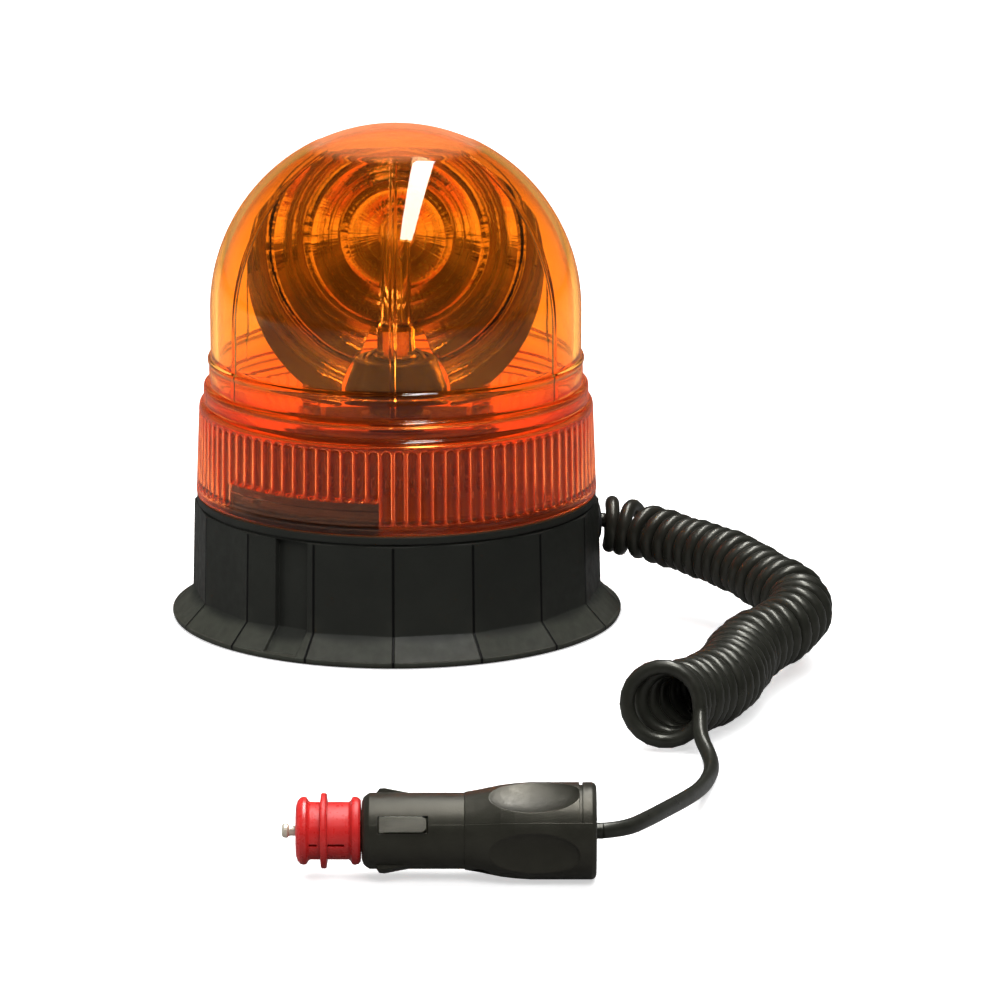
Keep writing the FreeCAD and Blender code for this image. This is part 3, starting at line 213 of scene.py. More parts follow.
# ---------------------------------------------------------------- materials
class Nodes:
    """A small node builder round one material."""

    def __init__(self, name):
        self.m = bpy.data.materials.new(name)
        self.m.use_nodes = True
        self.t = self.m.node_tree
        self.t.nodes.clear()
        self.out = self.t.nodes.new("ShaderNodeOutputMaterial")

    def add(self, kind, **props):
        n = self.t.nodes.new("ShaderNode" + kind)
        for k, v in props.items():
            setattr(n, k, v)
        return n

    def link(self, a, b):
        self.t.links.new(a, b)

    def principled(self, color=None, rough=0.5, metal=0.0, **more):
        n = self.add("BsdfPrincipled")
        if color is not None:
            n.inputs["Base Color"].default_value = (*color, 1.0)
        n.inputs["Roughness"].default_value = rough
        n.inputs["Metallic"].default_value = metal
        for k, v in more.items():
            n.inputs[k.replace("_", " ")].default_value = v
        return n

    def coords(self):
        return self.add("TexCoord").outputs["Object"]

    def noise(self, vec, scale, detail=3.0, rough=0.55, stretch=None):
        n = self.add("TexNoise")
        n.inputs["Scale"].default_value = scale
        n.inputs["Detail"].default_value = detail
        n.inputs["Roughness"].default_value = rough
        if stretch:
            m = self.add("Mapping")
            m.inputs["Scale"].default_value = stretch
            self.link(vec, m.inputs["Vector"])
            vec = m.outputs["Vector"]
        self.link(vec, n.inputs["Vector"])
        return n.outputs["Fac"]

    def ramp(self, fac, stops, interp="LINEAR"):
        n = self.add("ValToRGB")
        n.color_ramp.interpolation = interp
        el = n.color_ramp.elements
        while len(el) < len(stops):
            el.new(0.5)
        for e, (p, c) in zip(el, stops):
            e.position = p
            e.color = (*c, 1.0) if len(c) == 3 else c
        self.link(fac, n.inputs["Fac"])
        return n.outputs["Color"]

    def math(self, op, a, b=None, c=None, clamp=False):
        n = self.add("Math", operation=op, use_clamp=clamp)
        for i, x in enumerate((a, b, c)):
            if x is None:
                continue
            if isinstance(x, (int, float)):
                n.inputs[i].default_value = x
            else:
                self.link(x, n.inputs[i])
        return n.outputs[0]

    def range(self, v, a, b, c, d, smooth=False):
        n = self.add("MapRange", interpolation_type="SMOOTHSTEP" if smooth else "LINEAR")
        self.link(v, n.inputs["Value"])
        for k, x in zip(("From Min", "From Max", "To Min", "To Max"), (a, b, c, d)):
            n.inputs[k].default_value = x
        return n.outputs["Result"]

    def mix(self, fac, a, b, mode="MIX"):
        n = self.add("Mix", data_type="RGBA", blend_type=mode)
        for sock, x in ((n.inputs[0], fac), (n.inputs[6], a), (n.inputs[7], b)):
            if isinstance(x, (int, float)):
                sock.default_value = x
            elif isinstance(x, tuple):
                sock.default_value = (*x, 1.0)
            else:
                self.link(x, sock)
        return n.outputs[2]

    def bump(self, height, strength=0.2, distance=0.0002, normal=None):
        n = self.add("Bump")
        n.inputs["Strength"].default_value = strength
        n.inputs["Distance"].default_value = distance
        self.link(height, n.inputs["Height"])
        if normal is not None:
            self.link(normal, n.inputs["Normal"])
        return n.outputs["Normal"]

    def bevel(self, radius, samples=4):
        n = self.add("Bevel")
        n.samples = samples
        n.inputs["Radius"].default_value = radius
        return n.outputs["Normal"]

    def done(self, shader):
        self.link(shader, self.out.inputs["Surface"])
        return self.m


def plastic(name, dark, light, rough=(0.35, 0.5), grain=2600.0, grain_depth=0.12, mottle=60.0, bevel=0.0003, specular=0.5, coat=0.0):
    b = Nodes(name)
    co = b.coords()
    big = b.noise(co, mottle, 4.0)
    fine = b.noise(co, grain, 2.0)
    color = b.ramp(big, [(0.3, dark), (0.7, light)])
    p = b.principled(rough=0.4)
    p.inputs["Specular IOR Level"].default_value = specular
    if coat:
        p.inputs["Coat Weight"].default_value = coat
        p.inputs["Coat Roughness"].default_value = 0.12
    b.link(color, p.inputs["Base Color"])
    b.link(b.range(b.noise(co, mottle * 5, 4.0), 0.3, 0.7, rough[0], rough[1]), p.inputs["Roughness"])
    base = b.bevel(bevel) if bevel else None
    b.link(b.bump(fine, grain_depth, 0.00015, base), p.inputs["Normal"])
    return b.done(p.outputs[0])


def metal(name, dark, light, rough=(0.22, 0.38), scratch=(1, 1, 1), scale=900.0, bevel=0.00015, depth=0.06):
    b = Nodes(name)
    co = b.coords()
    streak = b.noise(co, scale, 4.0, stretch=scratch)
    big = b.noise(co, 90.0, 3.0)
    color = b.ramp(b.math("MULTIPLY_ADD", streak, 0.5, b.math("MULTIPLY", big, 0.5)), [(0.3, dark), (0.7, light)])
    p = b.principled(metal=1.0)
    b.link(color, p.inputs["Base Color"])
    b.link(b.range(streak, 0.3, 0.7, rough[0], rough[1]), p.inputs["Roughness"])
    b.link(b.bump(streak, depth, 0.0001, b.bevel(bevel) if bevel else None), p.inputs["Normal"])
    return b.done(p.outputs[0])


def paint(node, material):
    o = nodes[node]
    if not o.data.materials:
        o.data.materials.append(material)
    for s in o.material_slots:
        s.material = material


# housing: black moulded plastic with a fine line at each facet's edge
def housing_material():
    b = Nodes("housing_plastic")
    co = b.coords()
    sep = b.add("SeparateXYZ")
    b.link(co, sep.inputs[0])
    x, y, z = sep.outputs
    ang = b.math("ARCTAN2", y, x)
    t = b.math("DIVIDE", ang, math.radians(22.5))
    near = b.math("SUBTRACT", t, b.math("ROUND", t))
    dist = b.math("MULTIPLY", b.math("ABSOLUTE", near), math.radians(22.5) * 0.067)
    line = b.range(dist, 0.00018, 0.00055, 1.0, 0.0, True)
    outer = b.range(b.math("SQRT", b.math("ADD", b.math("MULTIPLY", x, x), b.math("MULTIPLY", y, y))), 0.0635, 0.0645, 0.0, 1.0)
    low = b.range(z, 0.0380, 0.0386, 1.0, 0.0)
    line = b.math("MULTIPLY", line, b.math("MULTIPLY", outer, low))
    big = b.noise(co, 45.0, 5.0)
    base = b.ramp(big, [(0.25, (0.0165, 0.0172, 0.0150)), (0.75, (0.0225, 0.0238, 0.0200))])
    rad = b.math("SQRT", b.math("ADD", b.math("MULTIPLY", x, x), b.math("MULTIPLY", y, y)))
    # the low outer rim of the flare is painted lighter than the rest of the housing: painted light, standing in for the
    # overhead light that rim faces
    flare_painted_light = b.math("MULTIPLY", b.range(rad, 0.0672, 0.0700, 0.0, 1.0, True), b.range(z, 0.0160, 0.0130, 0.0, 1.0, True))
    base = b.mix(flare_painted_light, base, b.ramp(b.noise(co, 300.0, 5.0), [(0.3, (0.0360, 0.0375, 0.0300)), (0.7, (0.0470, 0.0490, 0.0390))]))
    color = b.mix(line, base, (0.0025, 0.0025, 0.0025))
    p = b.principled()
    p.inputs["Specular IOR Level"].default_value = 0.16
    b.link(color, p.inputs["Base Color"])
    scuff = b.noise(co, 260.0, 6.0)
    b.link(b.range(scuff, 0.3, 0.7, 0.46, 0.60), p.inputs["Roughness"])
    fine = b.noise(co, 2400.0, 2.0)
    n1 = b.bump(fine, 0.10, 0.00015, b.bevel(0.0006, 6))
    n2 = b.bump(b.math("SUBTRACT", 1.0, line), 0.9, 0.0004, n1)
    b.link(n2, p.inputs["Normal"])
    return b.done(p.outputs[0])


paint("base_housing", housing_material())
rubber = plastic("rubber_black", (0.010, 0.010, 0.010), (0.020, 0.020, 0.020), (0.6, 0.75), grain=1800, grain_depth=0.2)
holder_black = plastic("holder_black", (0.012, 0.011, 0.010), (0.022, 0.020, 0.018), (0.30, 0.45))
chassis_grey = plastic("chassis_grey", (0.012, 0.011, 0.010), (0.020, 0.018, 0.016), (0.35, 0.5))
table_black = plastic("turntable_black", (0.030, 0.026, 0.023), (0.046, 0.040, 0.035), (0.25, 0.4))
gear_dark = plastic("gear_dark", (0.045, 0.04, 0.037), (0.07, 0.062, 0.055), (0.35, 0.5))
steel = metal("screw_steel", (0.42, 0.42, 0.43), (0.62, 0.62, 0.62), (0.25, 0.4))
plate_steel = metal("plate_steel", (0.40, 0.41, 0.43), (0.58, 0.59, 0.6), (0.3, 0.45), scratch=(1, 12, 1), scale=500)
nickel = metal("nickel_plate", (0.62, 0.58, 0.50), (0.80, 0.76, 0.68), (0.14, 0.26))
tip_metal = metal("tip_nickel_brass", (0.74, 0.66, 0.48), (0.92, 0.88, 0.76), (0.30, 0.42), scale=700)
tip_metal.node_tree.nodes["Principled BSDF"].inputs["Metallic"].default_value = 0.55
brass = metal("brass", (0.62, 0.44, 0.18), (0.80, 0.62, 0.32), (0.2, 0.35))
bronze = metal("bronze", (0.42, 0.26, 0.12), (0.58, 0.38, 0.2), (0.3, 0.45))
ferrite = plastic("ferrite", (0.03, 0.03, 0.032), (0.055, 0.055, 0.058), (0.55, 0.7), grain=900, grain_depth=0.3)
copper = metal("copper_winding", (0.45, 0.17, 0.06), (0.72, 0.34, 0.16), (0.25, 0.4), scratch=(1, 1, 9), scale=700, depth=0.3)
contact = metal("contact_steel", (0.52, 0.50, 0.42), (0.72, 0.69, 0.58), (0.34, 0.50), scratch=(0.2, 3, 3), scale=900)
board = plastic("board_green", (0.006, 0.05, 0.018), (0.012, 0.085, 0.03), (0.2, 0.35), grain=1500)
sleeve_blue = plastic("capacitor_sleeve", (0.012, 0.018, 0.06), (0.02, 0.03, 0.09), (0.2, 0.3))
lead_red = plastic("lead_red", (0.34, 0.012, 0.01), (0.46, 0.02, 0.016), (0.3, 0.45))
red = plastic("adapter_red", (0.56, 0.018, 0.018), (0.68, 0.030, 0.027), (0.24, 0.36), grain=1500, grain_depth=0.08, mottle=120.0, bevel=0.00035, specular=0.55)


def plug_material():
    b = Nodes("plug_plastic")
    co = b.coords()
    big = b.noise(co, 130.0, 5.0)
    p = b.principled()
    b.link(b.ramp(big, [(0.25, (0.0150, 0.0148, 0.0112)), (0.75, (0.0250, 0.0245, 0.0190))]), p.inputs["Base Color"])
    p.inputs["Specular IOR Level"].default_value = 0.5
    p.inputs["Specular Tint"].default_value = (1.0, 0.94, 0.78, 1.0)
    b.link(b.range(b.noise(co, 420.0, 6.0), 0.3, 0.7, 0.30, 0.46), p.inputs["Roughness"])
    b.link(b.bump(b.noise(co, 1900.0, 3.0), 0.12, 0.0002, b.bevel(0.0003, 6)), p.inputs["Normal"])
    return b.done(p.outputs[0])


plug_black = plug_material()


def cord_material():
    b = Nodes("cord_jacket")
    co = b.coords()
    p = b.principled()
    b.link(b.ramp(b.noise(co, 240.0, 4.0), [(0.3, (0.0130, 0.0133, 0.0104)), (0.7, (0.0210, 0.0214, 0.0168))]), p.inputs["Base Color"])
    p.inputs["Specular IOR Level"].default_value = 0.55
    p.inputs["Specular Tint"].default_value = (1.0, 0.99, 0.88, 1.0)
    b.link(b.range(b.noise(co, 160.0, 4.0), 0.3, 0.7, 0.27, 0.36), p.inputs["Roughness"])
    b.link(b.bump(b.noise(co, 900.0, 2.0), 0.03, 0.0001), p.inputs["Normal"])
    return b.done(p.outputs[0])


cord_black = cord_material()
cord.data.materials.append(cord_black)


def dish_material():
    b = Nodes("dish_metallised")
    co = b.coords()
    p = b.principled(metal=1.0)
    b.link(b.ramp(b.noise(co, 70.0, 3.0), [(0.3, (0.80, 0.79, 0.77)), (0.7, (0.90, 0.89, 0.87))]), p.inputs["Base Color"])
    b.link(b.range(b.noise(co, 160.0, 4.0), 0.3, 0.7, 0.035, 0.08), p.inputs["Roughness"])
    # each ring of the dish bulges a little, so every ring carries its own image
    sep = b.add("SeparateXYZ")
    b.link(co, sep.inputs[0])
    dz = b.math("SUBTRACT", sep.outputs[2], 0.1235)
    r = b.math("SQRT", b.math("ADD", b.math("MULTIPLY", sep.outputs[0], sep.outputs[0]), b.math("MULTIPLY", dz, dz)))
    fr = b.math("SUBTRACT", b.math("FRACT", b.math("DIVIDE", b.math("ADD", r, 0.0079), 0.0122)), 0.5)
    ring = b.math("MULTIPLY", b.math("MULTIPLY", fr, fr), -1.0)
    n1 = b.bump(ring, 1.0, 0.0030, b.bevel(0.0003))
    f2 = b.math("SUBTRACT", b.math("FRACT", b.math("DIVIDE", b.math("ADD", r, 0.0018), 0.0061)), 0.5)
    n1 = b.bump(b.math("MULTIPLY", b.math("MULTIPLY", f2, f2), -1.0), 1.0, 0.0007, n1)
    # fine spokes left by the mould
    comb = b.add("CombineXYZ")
    b.link(b.math("MULTIPLY", b.math("ARCTAN2", dz, sep.outputs[0]), 14.0), comb.inputs[0])
    b.link(b.math("MULTIPLY", r, 45.0), comb.inputs[1])
    spoke = b.noise(comb.outputs[0], 1.0, 3.0)
    n2 = b.bump(spoke, 1.0, 0.00013, n1)
    b.link(b.bump(b.noise(co, 120.0, 3.0), 0.25, 0.0006, n2), p.inputs["Normal"])
    return b.done(p.outputs[0])


dish = dish_material()


def clear_glass(name, tint, rough=0.01):
    b = Nodes(name)
    p = b.principled(tint, rough, 0.0, Transmission_Weight=1.0, IOR=1.46)
    co = b.coords()
    b.link(b.bump(b.noise(co, 90.0, 2.0), 0.05, 0.0002), p.inputs["Normal"])
    tr = b.add("BsdfTransparent")
    tr.inputs["Color"].default_value = (*tint, 1.0)
    lp = b.add("LightPath")
    mx = b.add("MixShader")
    b.link(lp.outputs["Is Shadow Ray"], mx.inputs[0])
    b.link(p.outputs[0], mx.inputs[1])
    b.link(tr.outputs[0], mx.inputs[2])
    return b.done(mx.outputs[0])


bulb_clear = clear_glass("bulb_clear_glass", (0.97, 0.98, 0.98))
fuse_clear = clear_glass("fuse_clear_glass", (0.9, 0.93, 0.92))

spring.data.materials.clear()
spring.data.materials.append(steel)
for names, m in (
    (("foot_pad", "lens_seal", "cable_grommet"), rubber),
    (("bulb_holder", "motor_endcap", "cable_clamp"), holder_black),
    (("chassis_plate", "centre_post"), chassis_grey),
    (("turntable",), table_black),
    (("ring_gear", "drive_pinion", "terminal_block"), gear_dark),
    (("base_screws", "chassis_screws", "post_screws", "thrust_washer", "retaining_clip", "reflector_screws", "motor_screws", "motor_shaft",
      "board_screws", "clamp_screws", "plug_screw", "bulb_filament", "bulb_clip"), steel),
    (("base_plate", "motor_can"), plate_steel),
    (("bulb_base",), nickel), (("tip_contact",), tip_metal),
    (("gear_rivets", "board_spacers", "fuse_contact", "holder_contact"), brass),
    (("rotor_bush",), bronze), (("ring_magnet",), ferrite), (("choke",), copper),
    (("side_contact_front", "side_contact_rear"), contact),
    (("circuit_board",), board), (("capacitor",), sleeve_blue),
    (("motor_leads", "bulb_lead", "plug_wires"), lead_red),
    (("plug_adapter",), red),
    (("plug_shell_upper", "plug_shell_lower", "nose_sleeve", "nose_cap", "plug_cord_clip"), plug_black),
    (("plug_cord_end", "supply_cable_inner"), cord_black),
    (("reflector",), dish), (("bulb_glass",), bulb_clear), (("plug_fuse",), fuse_clear),
):
    for n in names:
        paint(n, m)


# ---------------------------------------------------------------- lens
def lens_profile_outer():
    pts = [(66.20, 42.20), (66.55, 42.35), (66.62, 42.8), (66.60, 43.6), (66.55, 44.5)]
    for z in np.arange(44.75, 70.76, 0.25):
        pts.append((66.55 - (z - 44.5) / 26.0 * 1.05, float(z)))
    pts += [(65.42, 71.4), (65.30, 72.1), (65.02, 72.7), (64.55, 73.1), (64.1, 73.25), (63.95, 73.45), (63.93, 74.2), (63.92, 76.0), (63.90, 77.8),
            (63.76, 78.5), (63.4, 78.95), (62.8, 79.15), (62.25, 79.25), (62.08, 79.5), (62.05, 80.3), (62.04, 82.0), (62.02, 84.0), (62.0, 85.5),
            (62.08, 85.9), (62.32, 86.25), (62.46, 86.8), (62.46, 87.3), (62.28, 87.8), (61.85, 88.15), (61.6, 88.35), (61.52, 88.8)]
    for z in np.arange(90.0, 103.6, 1.5):
        pts.append((61.5, float(z)))
    for k in range(1, 56):
        a = math.radians(90.0 * k / 56.0)
        r, z = 61.5 * math.cos(a), 103.5 + 61.5 * math.sin(a)
        if r < 27.2:
            z -= 0.22
        pts.append((r, z))
    return pts


def lens_profile_inner():
    pts = [(63.10, 42.20), (63.10, 42.8), (63.10, 43.6), (63.10, 44.25)]
    for z in np.arange(44.5, 70.01, 0.25):
        pts.append((63.10, float(z)))
    pts += [(63.0, 70.4), (62.4, 70.8), (61.6, 71.0), (61.5, 71.6), (61.5, 74.0), (61.5, 76.2), (61.2, 76.6), (60.2, 76.9), (59.65, 77.1), (59.6, 78.0), (59.6, 82.0),
            (59.6, 86.6), (59.3, 87.2), (59.05, 87.8), (59.0, 89.0)]
    for z in np.arange(90.5, 103.6, 1.5):
        pts.append((59.0, float(z)))
    for k in range(1, 56):
        a = math.radians(90.0 * k / 56.0)
        pts.append((59.0 * math.cos(a), 103.5 + 59.0 * math.sin(a)))
    return pts


COLS = 960
theta = np.arange(COLS) * 2 * math.pi / COLS
deg = (np.degrees(theta) + 180.0) % 360.0 - 180.0
FLUTE = 3.75
win_lo, win_hi = -146.5, -94.0


def flute_height(z):
    """How far the flutes stand in from the skirt's inner wall at height z, for each column, 0 to 1."""
    off = (deg / FLUTE) % 1.0 - 0.5
    x = off * math.radians(FLUTE) * 63.1
    w = 1.70
    low = np.where((deg > win_lo) & (deg < win_hi), 52.6, 44.7)
    high = 70.0
    d_end = np.minimum(z - low, high - z)
    dz = np.clip(w - d_end, 0, None)
    d = np.sqrt(x * x + dz * dz) / w
    return np.where(d_end > 0, np.sqrt(np.clip(1 - d * d, 0, 1)), 0.0)


def rib_height(z, r):
    """Six ribs down the inside of the crown and the wall."""
    a = np.radians(((deg + 90.0 + 30.0) % 60.0) - 30.0)
    x = np.abs(a) * max(r, 1.0)
    h = np.clip((1.15 - x) / 0.60, 0, 1)
    return h * (1.0 if (z > 80.5 and r > 27.0) else 0.0)


def build_lens():
    outer, inner = lens_profile_outer(), lens_profile_inner()
    rows = []
    c, s = np.cos(theta), np.sin(theta)
    for r, z in outer:
        rr = np.full(COLS, r)
        if 44.6 < z < 70.2:
            valley = 1.0 - flute_height(z)
            inside = (z > 45.0) & (z < 70.0)
            rr = rr - (0.26 * valley if inside else 0.0)
        rows.append(np.stack([rr * c, rr * s, np.full(COLS, z)], axis=1))
    outer_top = (0.0, 0.0, 165.0 - 0.22)
    n_out = len(rows)
    for r, z in inner:
        rr = np.full(COLS, r)
        if 44.4 < z < 70.3:
            rr = rr - 1.15 * flute_height(z)
            # the clear pane at the left is thicker, with a step along its lower part
            pane = (deg > win_lo) & (deg < win_hi)
            if z < 49.6:
                rr = np.where(pane, rr - 0.45, rr)
        rr = rr - 0.5 * rib_height(z, r)
        rows.append(np.stack([rr * c, rr * s, np.full(COLS, z)], axis=1))
    verts = np.concatenate(rows + [np.array([outer_top, (0.0, 0.0, 162.5)])]) * MM
    faces = []
    idx = np.arange(COLS)
    nxt = (idx + 1) % COLS
    for i in range(n_out - 1):
        a, b = i * COLS, (i + 1) * COLS
        faces += list(zip(a + idx, a + nxt, b + nxt, b + idx))
    for i in range(n_out, len(rows) - 1):
        a, b = i * COLS, (i + 1) * COLS
        faces += list(zip(a + idx, b + idx, b + nxt, a + nxt))
    a, b = 0, n_out * COLS
    faces += list(zip(a + idx, b + idx, b + nxt, a + nxt))
    top = len(rows) * COLS
    a = (n_out - 1) * COLS
    faces += list(zip(a + idx, a + nxt, np.full(COLS, top)))
    a = (len(rows) - 1) * COLS
    faces += list(zip(a + idx, np.full(COLS, top + 1), a + nxt))
    faces = [tuple(int(k) for k in f) for f in faces]
    return new_object("lens_amber", mesh_of("lens_amber", verts, faces))


def amber():
    b = Nodes("lens_amber_plastic")
    co = b.coords()
    sep = b.add("SeparateXYZ")
    b.link(co, sep.inputs[0])
    z = sep.outputs[2]
    skirt = b.range(z, 0.0695, 0.0740, 1.0, 0.0, True)
    mid = b.range(z, 0.0780, 0.0895, 1.0, 0.0, True)
    crown = b.range(z, 0.1570, 0.1592, 0.0, 1.0, True)
    mottle = b.ramp(b.noise(co, 25.0, 3.0), [(0.3, (0.915, 0.385, 0.060)), (0.7, (0.945, 0.445, 0.085))])
    c1 = b.mix(mid, mottle, (0.86, 0.225, 0.040))
    c2 = b.mix(skirt, c1, (0.84, 0.200, 0.050))
    azi = b.math("ARCTAN2", sep.outputs[1], sep.outputs[0])
    clear = b.math("MULTIPLY", b.math("GREATER_THAN", azi, math.radians(-146.5)), b.math("LESS_THAN", azi, math.radians(-94.0)))
    clear = b.math("MULTIPLY", clear, b.math("LESS_THAN", z, 0.0526))
    c2 = b.mix(clear, c2, (0.56, 0.26, 0.14))
    c3 = b.mix(crown, c2, (0.98, 0.60, 0.35))
    p = b.principled(rough=0.03)
    p.inputs["Transmission Weight"].default_value = 1.0
    p.inputs["IOR"].default_value = 1.42
    b.link(c3, p.inputs["Base Color"])
    b.link(b.range(mid, 0.0, 1.0, 0.03, 0.10), p.inputs["Roughness"])
    b.link(b.bump(b.noise(co, 55.0, 2.0), 0.06, 0.0004), p.inputs["Normal"])
    # a little haze in the moulding; the stronger scatter along the thin lines between the flutes is painted highlight,
    # standing in for the light the flute ridges refract
    ang = b.math("DIVIDE", b.math("ARCTAN2", sep.outputs[1], sep.outputs[0]), math.radians(3.75))
    near = b.math("ABSOLUTE", b.math("SUBTRACT", ang, b.math("ROUND", ang)))
    line = b.range(near, 0.05, 0.15, 1.0, 0.0, True)
    zone = b.math("MULTIPLY", b.range(z, 0.0445, 0.0455, 0.0, 1.0), b.range(z, 0.0690, 0.0700, 1.0, 0.0))
    azim = b.math("ARCTAN2", sep.outputs[1], sep.outputs[0])
    pane = b.math("MULTIPLY", b.math("GREATER_THAN", azim, math.radians(-146.5)), b.math("LESS_THAN", azim, math.radians(-94.0)))
    pane = b.math("MULTIPLY", pane, b.math("LESS_THAN", z, 0.0526))
    line = b.math("MULTIPLY", b.math("MULTIPLY", line, zone), b.math("SUBTRACT", 1.0, pane))
    haze_and_painted_highlight = b.math("ADD", b.math("MULTIPLY", line, 0.26), b.math("MULTIPLY", crown, 0.26))
    haze_and_painted_highlight = b.math("ADD", haze_and_painted_highlight, b.math("MULTIPLY", b.math("MULTIPLY", b.math("ADD", skirt, mid), b.math("SUBTRACT", 0.5, b.math("MULTIPLY", pane, 0.5))), 0.06), clamp=True)
    # and where the wall is seen edge on
    lw = b.add("LayerWeight")
    lw.inputs["Blend"].default_value = 0.5
    edge = b.range(lw.outputs["Facing"], 0.68, 0.97, 0.0, 0.55, True)
    haze_and_painted_highlight = b.math("ADD", haze_and_painted_highlight, edge, clamp=True)
    soft_color = b.mix(b.range(z, 0.0780, 0.0895, 0.0, 1.0, True), (0.86, 0.17, 0.055), (0.90, 0.30, 0.06))
    soft_color = b.mix(crown, soft_color, (0.92, 0.36, 0.16))
    dif = b.add("BsdfDiffuse")
    b.link(soft_color, dif.inputs["Color"])
    tlu = b.add("BsdfTranslucent")
    b.link(soft_color, tlu.inputs["Color"])
    soft = b.add("MixShader")
    b.link(dif.outputs[0], soft.inputs[1])
    b.link(tlu.outputs[0], soft.inputs[2])
    body = b.add("MixShader")
    b.link(haze_and_painted_highlight, body.inputs[0])
    b.link(p.outputs[0], body.inputs[1])
    b.link(soft.outputs[0], body.inputs[2])
    tr = b.add("BsdfTransparent")
    tr.inputs["Color"].default_value = (1.0, 0.66, 0.30, 1.0)
    lp = b.add("LightPath")
    mx = b.add("MixShader")
    b.link(lp.outputs["Is Shadow Ray"], mx.inputs[0])
    b.link(body.outputs[0], mx.inputs[1])
    b.link(tr.outputs[0], mx.inputs[2])
    return b.done(mx.outputs[0])


lens = build_lens()
lens.data.materials.append(amber())
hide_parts("lens_dome")
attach(lens, "lens")

# ---------------------------------------------------------------- floor, light
floor_mesh = mesh_of("floor", [(-4, -4, -0.0002), (4, -4, -0.0002), (4, 6, -0.0002), (-4, 6, -0.0002)], [(0, 1, 2, 3)], smooth=False)
floor = new_object("floor", floor_mesh)
fb = Nodes("floor_white")
fp = fb.principled(rough=0.8)
fb.link(fb.ramp(fb.noise(fb.coords(), 8.0, 2.0), [(0.3, (0.90, 0.90, 0.90)), (0.7, (0.92, 0.92, 0.92))]), fp.inputs["Base Color"])
fp.inputs["Specular IOR Level"].default_value = 0.0
fe = fb.add("Emission")
fe.inputs["Strength"].default_value = 0.55
fa = fb.add("AddShader")
fb.link(fp.outputs[0], fa.inputs[0])
fb.link(fe.outputs[0], fa.inputs[1])
fd = fb.add("BsdfDiffuse")
fd.inputs["Color"].default_value = (0.17, 0.17, 0.17, 1.0)
fl = fb.add("LightPath")
fm = fb.add("MixShader")
fb.link(fl.outputs["Is Reflection Ray"], fm.inputs[0])
fsep = fb.add("SeparateXYZ")
fb.link(fb.coords(), fsep.inputs[0])
front = fb.range(fsep.outputs[1], -0.75, -0.45, 1.0, 0.0, True)
sides = fb.math("MULTIPLY", fb.range(fb.math("ABSOLUTE", fsep.outputs[0]), 0.35, 0.60, 0.0, 1.0, True), fb.range(fsep.outputs[1], -0.10, 0.10, 1.0, 0.0, True))
shade = fb.math("MULTIPLY", fb.math("MAXIMUM", front, sides), fl.outputs["Is Transmission Ray"])
fh = fb.add("MixShader")
fg = fb.add("BsdfDiffuse")
fg.inputs["Color"].default_value = (0.22, 0.22, 0.22, 1.0)
fb.link(shade, fh.inputs[0])
fb.link(fa.outputs[0], fh.inputs[1])
fb.link(fg.outputs[0], fh.inputs[2])
fb.link(fh.outputs[0], fm.inputs[1])
fb.link(fd.outputs[0], fm.inputs[2])
floor.data.materials.append(fb.done(fm.outputs[0]))

world = bpy.data.worlds.new("studio")
scene.world = world
world.use_nodes = True
wt = world.node_tree
wt.nodes.clear()
wo = wt.nodes.new("ShaderNodeOutputWorld")
bg = wt.nodes.new("ShaderNodeBackground")
tc = wt.nodes.new("ShaderNodeTexCoord")
sx = wt.nodes.new("ShaderNodeSeparateXYZ")
mr = wt.nodes.new("ShaderNodeMapRange")
for k, v in (("From Min", 0.06), ("From Max", 0.34), ("To Min", 0.85), ("To Max", 0.13)):
    mr.inputs[k].default_value = v
lpw = wt.nodes.new("ShaderNodeLightPath")
dim = wt.nodes.new("ShaderNodeMath")
dim.operation = "MULTIPLY_ADD"
dim.inputs[1].default_value = -0.80
dim.inputs[2].default_value = 1.0
mul = wt.nodes.new("ShaderNodeMath")
mul.operation = "MULTIPLY"
see = wt.nodes.new("ShaderNodeMix")
see.inputs[3].default_value = 0.88
wt.links.new(tc.outputs["Generated"], sx.inputs[0])
wt.links.new(sx.outputs[2], mr.inputs["Value"])
wt.links.new(lpw.outputs["Is Reflection Ray"], dim.inputs[0])
fr = wt.nodes.new("ShaderNodeMapRange")
for k, v in (("From Min", -0.15), ("From Max", 0.15), ("To Min", 0.40), ("To Max", 1.0)):
    fr.inputs[k].default_value = v
wt.links.new(sx.outputs[1], fr.inputs["Value"])
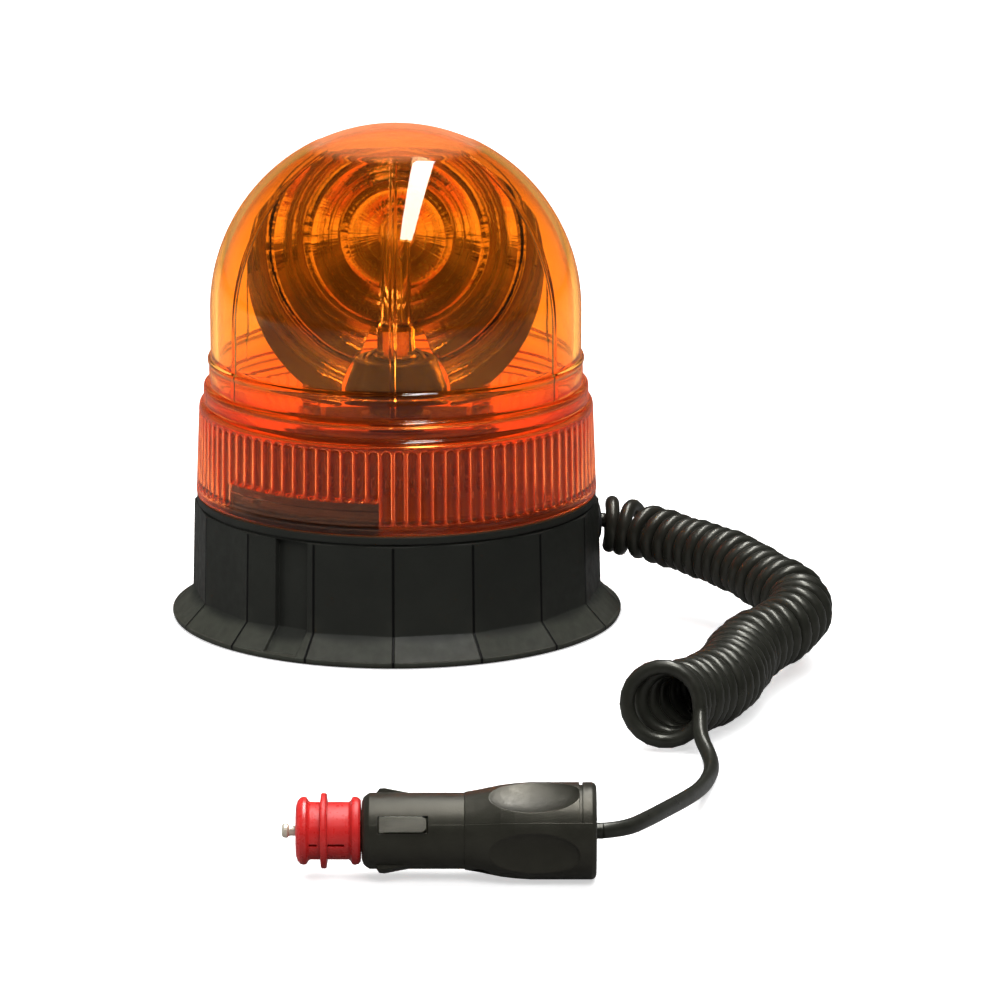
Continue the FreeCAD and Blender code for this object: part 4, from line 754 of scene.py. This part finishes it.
both = wt.nodes.new("ShaderNodeMath")
both.operation = "MULTIPLY"
up = wt.nodes.new("ShaderNodeMath")
up.operation = "MULTIPLY_ADD"
up.inputs[1].default_value = 0.30
wt.links.new(lpw.outputs["Is Transmission Ray"], up.inputs[0])
wt.links.new(mr.outputs["Result"], up.inputs[2])
wt.links.new(up.outputs[0], both.inputs[0])
wt.links.new(fr.outputs["Result"], both.inputs[1])
wt.links.new(both.outputs[0], mul.inputs[0])
wt.links.new(dim.outputs[0], mul.inputs[1])
wt.links.new(lpw.outputs["Is Camera Ray"], see.inputs[0])
wt.links.new(mul.outputs[0], see.inputs[2])
wt.links.new(see.outputs[0], bg.inputs["Strength"])
wt.links.new(bg.outputs[0], wo.inputs[0])


def area(name, loc, x_axis, y_axis, size_x, size_y, power, diffuse=True, glossy=True, glass=True):
    d = bpy.data.lights.new(name, "AREA")
    d.shape = "RECTANGLE"
    d.size, d.size_y, d.energy = size_x, size_y, power
    o = bpy.data.objects.new(name, d)
    xa, ya = Vector(x_axis).normalized(), Vector(y_axis).normalized()
    za = xa.cross(ya).normalized()
    ya = za.cross(xa)
    m = Matrix((xa, ya, za)).transposed().to_4x4()
    m.translation = Vector(loc)
    o.matrix_world = m
    o.visible_diffuse, o.visible_glossy, o.visible_transmission = diffuse, glossy, glass
    o.visible_camera = False
    scene.collection.objects.link(o)
    return o


# a long ceiling tube, seen in gloss only, and soft boxes that light without being mirrored
area("ceiling_tube", (0.190, -0.09, 1.2), (1, -0.049, 0), (0.049, 1, 0), 0.165, 1.44, 19.0, diffuse=False)
area("soft_top", (0.0, 0.1, 1.7), (1, 0, 0), (0, 1, 0), 1.6, 1.6, 46.0, glossy=False, glass=False)
area("soft_front", (0.3, -1.5, 1.3), (1, 0, 0), (0, 0.66, 0.75), 1.2, 0.8, 22.0, glossy=False, glass=False)
area("left_window", (-1.3, -0.10, 0.32), (0, -1, 0), (0.15, 0, 1), 0.7, 0.5, 9.0, glossy=False, glass=False)
